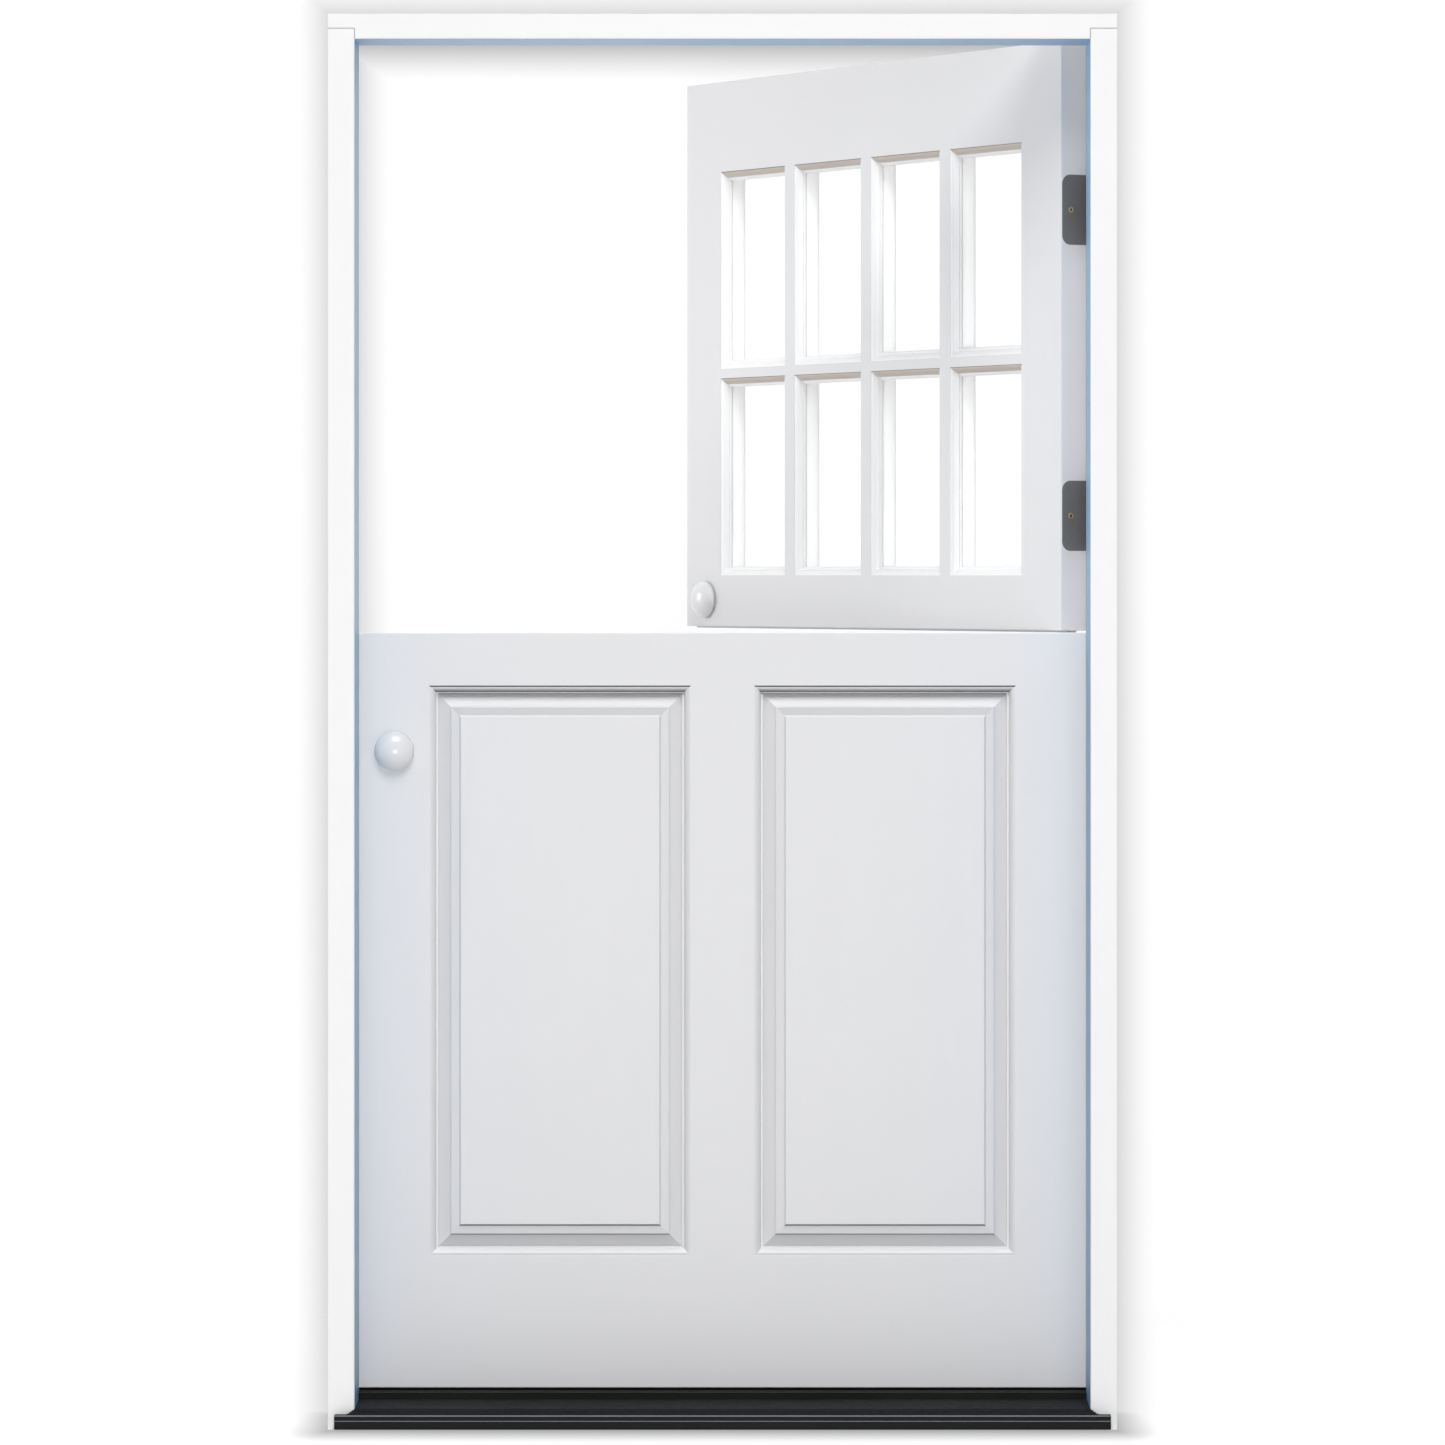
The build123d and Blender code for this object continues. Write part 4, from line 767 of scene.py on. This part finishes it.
def turned_knob(middle, outwards, radius, rise, stand, rim, neck_r, face_gap):
    """A knob turned about the Y axis through a middle on the leaf's face, outwards being -1 or 1.

    The dome is half an ellipse from the pole to the rim. Behind the rim the profile rounds over
    with a sine and goes in to a straight neck that stops just short of the face.
    """
    turns = 96
    dome = np.linspace(0, math.pi / 2, 25)
    over_rim = np.linspace(0, math.pi / 2, 6)[1:]
    radii = [radius * np.sin(dome), radius - rim * 0.35 * np.sin(over_rim), np.array([neck_r, neck_r, 0.0])]
    heights = [stand + rim + rise * np.cos(dome), stand + rim * np.cos(over_rim),
               np.array([stand, face_gap, face_gap])]
    radii, heights = np.concatenate(radii), np.concatenate(heights)
    around = np.linspace(0, 2 * math.pi, turns, endpoint=False)[:, None]
    inner_radii, inner_heights = radii[1:-1], heights[1:-1]
    ringed = np.stack([middle[0] + inner_radii * np.cos(around),
                       middle[1] + outwards * inner_heights + 0 * around,
                       middle[2] + inner_radii * np.sin(around)], axis=-1)
    count = len(inner_radii)
    poles = [(middle[0], middle[1] + outwards * height, middle[2]) for height in heights[[0, -1]]]
    points = np.concatenate([ringed.reshape(-1, 3), poles])
    row = np.arange(turns) * count
    next_row = np.roll(row, -1)
    across = np.arange(count - 1)
    here, there = row[:, None] + across, next_row[:, None] + across
    quads = np.stack([here, there, there + 1, here + 1], axis=-1).reshape(-1, 4)
    pole = np.full(turns, turns * count)
    top = np.stack([pole, next_row, row], axis=1)
    foot = np.stack([pole + 1, row + count - 1, next_row + count - 1], axis=1)
    if outwards > 0:
        quads, top, foot = quads[:, ::-1], top[:, ::-1], foot[:, ::-1]
    return points, quads.tolist() + top.tolist() + foot.tolist()


knob_r, knob_rise = 0.0288, 0.018
knob_stand, knob_rim, knob_neck_r, knob_gap = 0.0025, 0.0016, 0.015, 0.0004
knob_low, knob_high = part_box("lower_outer_knob")
knob_x = (knob_low.x + knob_high.x) / 2
for leaf in ("upper", "lower"):
    for side, outwards, at_y in (("outer", -1, face_y), ("inner", 1, face_y + leaf_t)):
        node = f"{leaf}_{side}_knob"
        low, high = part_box(node)
        knob_middle = (knob_x, at_y, (low.z + high.z) / 2)
        points, faces = turned_knob(knob_middle, outwards, knob_r, knob_rise, knob_stand, knob_rim,
                                    knob_neck_r, knob_gap)
        if leaf == "upper":
            points = turned_open(points)
        knob = surface(f"{leaf}_{side}_dome", points, faces, enamel_material, f"{leaf}_knob")
        knob.data.polygons.foreach_set("use_smooth", [True] * len(knob.data.polygons))
        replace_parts(knob, node)

# Floor and backdrop: one pale paper floor, and a white card behind the open leaf, each with a
# soft shadow of the frame painted on it.
card_white = (0.86, 0.86, 0.86, 1)
card_seen = (0.17, 0.17, 0.17, 1)
backdrop_y = 1.45
backdrop_top = 8.0
floor_half = 12.0
card_lift = 0.88


def seen_rays(tree):
    """1 for what the camera sees straight, in a reflection or through glass, else 0."""
    rays = step(tree, "ShaderNodeLightPath").outputs
    seen = maths(tree, "MAXIMUM", rays["Is Camera Ray"], rays["Is Glossy Ray"])
    return maths(tree, "MAXIMUM", seen, rays["Is Transmission Ray"])


frame_low, frame_high = cad_box
shade_half, shade_top = 0.6509, 2.1426
shade_opening_half, shade_opening_top = 0.6067, 2.1006
shade_reach, shade_depth = 0.0672, 0.30


def falloff(tree, distance, reach, power, depth):
    """The depth at no distance on either side, falling as a power to nothing at the reach."""
    away = maths(tree, "ABSOLUTE", distance)
    share = step(tree, "ShaderNodeMapRange", {0: away, 1: 0, 2: reach, 3: 1, 4: 0}).outputs[0]
    return maths(tree, "MULTIPLY", maths(tree, "POWER", share, power), depth)


def backdrop_shade(tree, place):
    """How much the backdrop is darkened: a soft shade in the frame's shape, a little larger than it.

    It falls away from the shape's outline, and from the top and left edges of its opening.
    """
    opening_reach, top_depth, left_depth = 0.0753, 0.60, 0.36
    x, y, z = step(tree, "ShaderNodeSeparateXYZ", {0: place}).outputs
    side = maths(tree, "SUBTRACT", maths(tree, "ABSOLUTE", x), shade_half)
    outside = maths(tree, "MAXIMUM", side, maths(tree, "SUBTRACT", z, shade_top))
    outer = falloff(tree, outside, shade_reach, 1.6, shade_depth)
    top = falloff(tree, maths(tree, "SUBTRACT", z, shade_opening_top), opening_reach, 1.3, top_depth)
    left = falloff(tree, maths(tree, "ADD", x, shade_opening_half), opening_reach, 1.6, left_depth)
    inner = maths(tree, "MULTIPLY", maths(tree, "MAXIMUM", top, left), maths(tree, "LESS_THAN", outside, 0))
    return maths(tree, "MAXIMUM", outer, inner)


def floor_shade(tree, place):
    """How much painted shadow darkens the floor: round the frame's foot, and in two bands on to the backdrop.
    """
    reach_side, reach_front, contact_depth = 0.058, 0.12, 0.52
    x, y = step(tree, "ShaderNodeSeparateXYZ", {0: place}).outputs[:2]
    out_x = maths(tree, "ABSOLUTE", x)
    side = maths(tree, "SUBTRACT", out_x, frame_high.x)
    side = maths(tree, "DIVIDE", maths(tree, "MAXIMUM", side, 0), reach_side)
    ahead = maths(tree, "SUBTRACT", frame_low.y, y)
    front = maths(tree, "MAXIMUM", ahead, maths(tree, "SUBTRACT", y, jamb_high.y))
    front = maths(tree, "DIVIDE", maths(tree, "MAXIMUM", front, 0), reach_front)
    squares = maths(tree, "ADD", maths(tree, "POWER", side, 2), maths(tree, "POWER", front, 2))
    far = maths(tree, "SQRT", squares)
    contact = step(tree, "ShaderNodeMapRange", {0: far, 1: 0, 2: 1, 3: contact_depth, 4: 0}).outputs[0]
    edge = step(tree, "ShaderNodeMapRange",
                {0: y, 1: front_y, 2: backdrop_y, 3: frame_high.x, 4: shade_half}).outputs[0]
    band = falloff(tree, maths(tree, "SUBTRACT", out_x, edge), shade_reach, 1.6, shade_depth)
    band = maths(tree, "MULTIPLY", band, maths(tree, "GREATER_THAN", y, front_y))
    return maths(tree, "MAXIMUM", contact, band)


def card(name, corners, lift, shadow_of, see_behind=False):
    """A flat staged card, lifted to white for the eye and darkened by a painted shadow. It can be clear from
    behind.
    """
    mesh = bpy.data.meshes.new(name)
    mesh.from_pydata(corners, [], [(0, 1, 2, 3)])
    piece = bpy.data.objects.new(name, mesh)
    bpy.context.scene.collection.objects.link(piece)
    material, tree, shader, place = finish_of(name)
    seen = seen_rays(tree)
    dark = shadow_of(tree, place)
    tree.links.new(blended(tree, seen, card_white, blended(tree, dark, card_seen, (0, 0, 0, 1))),
                   shader.inputs["Base Color"])
    glow = maths(tree, "MULTIPLY", seen, maths(tree, "MULTIPLY", maths(tree, "SUBTRACT", 1, dark), lift))
    shader.inputs["Roughness"].default_value = 0.9
    shader.inputs["Specular IOR Level"].default_value = 0.0
    shader.inputs["Emission Color"].default_value = (1, 1, 1, 1)
    tree.links.new(glow, shader.inputs["Emission Strength"])
    if see_behind:
        behind = step(tree, "ShaderNodeNewGeometry").outputs["Backfacing"]
        clear = step(tree, "ShaderNodeBsdfTransparent").outputs[0]
        mixed = step(tree, "ShaderNodeMixShader", {0: behind, 1: shader.outputs[0], 2: clear})
        tree.links.new(mixed.outputs[0], tree.nodes["Material Output"].inputs["Surface"])
    mesh.materials.append(material)


card("floor", [(-floor_half, -floor_half, 0), (floor_half, -floor_half, 0), (floor_half, floor_half, 0),
               (-floor_half, floor_half, 0)], card_lift, floor_shade)
card("backdrop", [(-floor_half, backdrop_y, 0), (floor_half, backdrop_y, 0),
                  (floor_half, backdrop_y, backdrop_top), (-floor_half, backdrop_y, backdrop_top)],
     card_lift, backdrop_shade, see_behind=True)

# Light: a pale room all round, a soft lamp below the camera, a broad one high over the floor in
# front, and a small one inside on the left that lights the open leaf.
world = bpy.data.worlds.new("room")
bpy.context.scene.world = world
world.use_nodes = True
tree = world.node_tree
room = tree.nodes["Background"]
room.inputs["Color"].default_value = (1, 1, 1, 1)
room_level = 0.14
level = step(tree, "ShaderNodeMapRange", {0: seen_rays(tree), 3: room_level, 4: 1.0}).outputs[0]
tree.links.new(level, room.inputs["Strength"])


def lamp(name, where, aim, size, watts):
    """A square soft lamp at a place, turned to face the aim."""
    light = bpy.data.lights.new(name, "AREA")
    light.size = size
    light.energy = watts
    piece = bpy.data.objects.new(name, light)
    bpy.context.scene.collection.objects.link(piece)
    piece.location = where
    direction = np.array(aim) - np.array(where)
    piece.visible_camera = False
    piece.rotation_euler = (math.atan2(math.hypot(*direction[:2]), -direction[2]), 0,
                            math.atan2(-direction[0], direction[1]))


middle = (0, 0, 1.0)
lamp("front_lamp", (0.0, -9.3, 0.2), middle, 1.6, 310)
lamp("high_lamp", (0.2, -5.3, 7.9), middle, 4.2, 430)
lamp("inner_lamp", (-2.2, 0.75, 1.5), (0.3, 0.45, 1.4), 0.8, 17)

# Camera: level, in line with the middle of the door, a long way off, as the picture was taken.
camera_data = bpy.data.cameras.new("camera")
camera = bpy.data.objects.new("camera", camera_data)
bpy.context.scene.collection.objects.link(camera)
camera.location = (0, -9.752, 1.2178)
camera.rotation_euler = (math.radians(90), 0, 0)
camera_data.lens = 169.2
camera_data.sensor_width = 36
camera_data.shift_y = -0.1025
camera_data.clip_end = 100
bpy.context.scene.camera = camera
bpy.context.scene.view_settings.view_transform = "Standard"
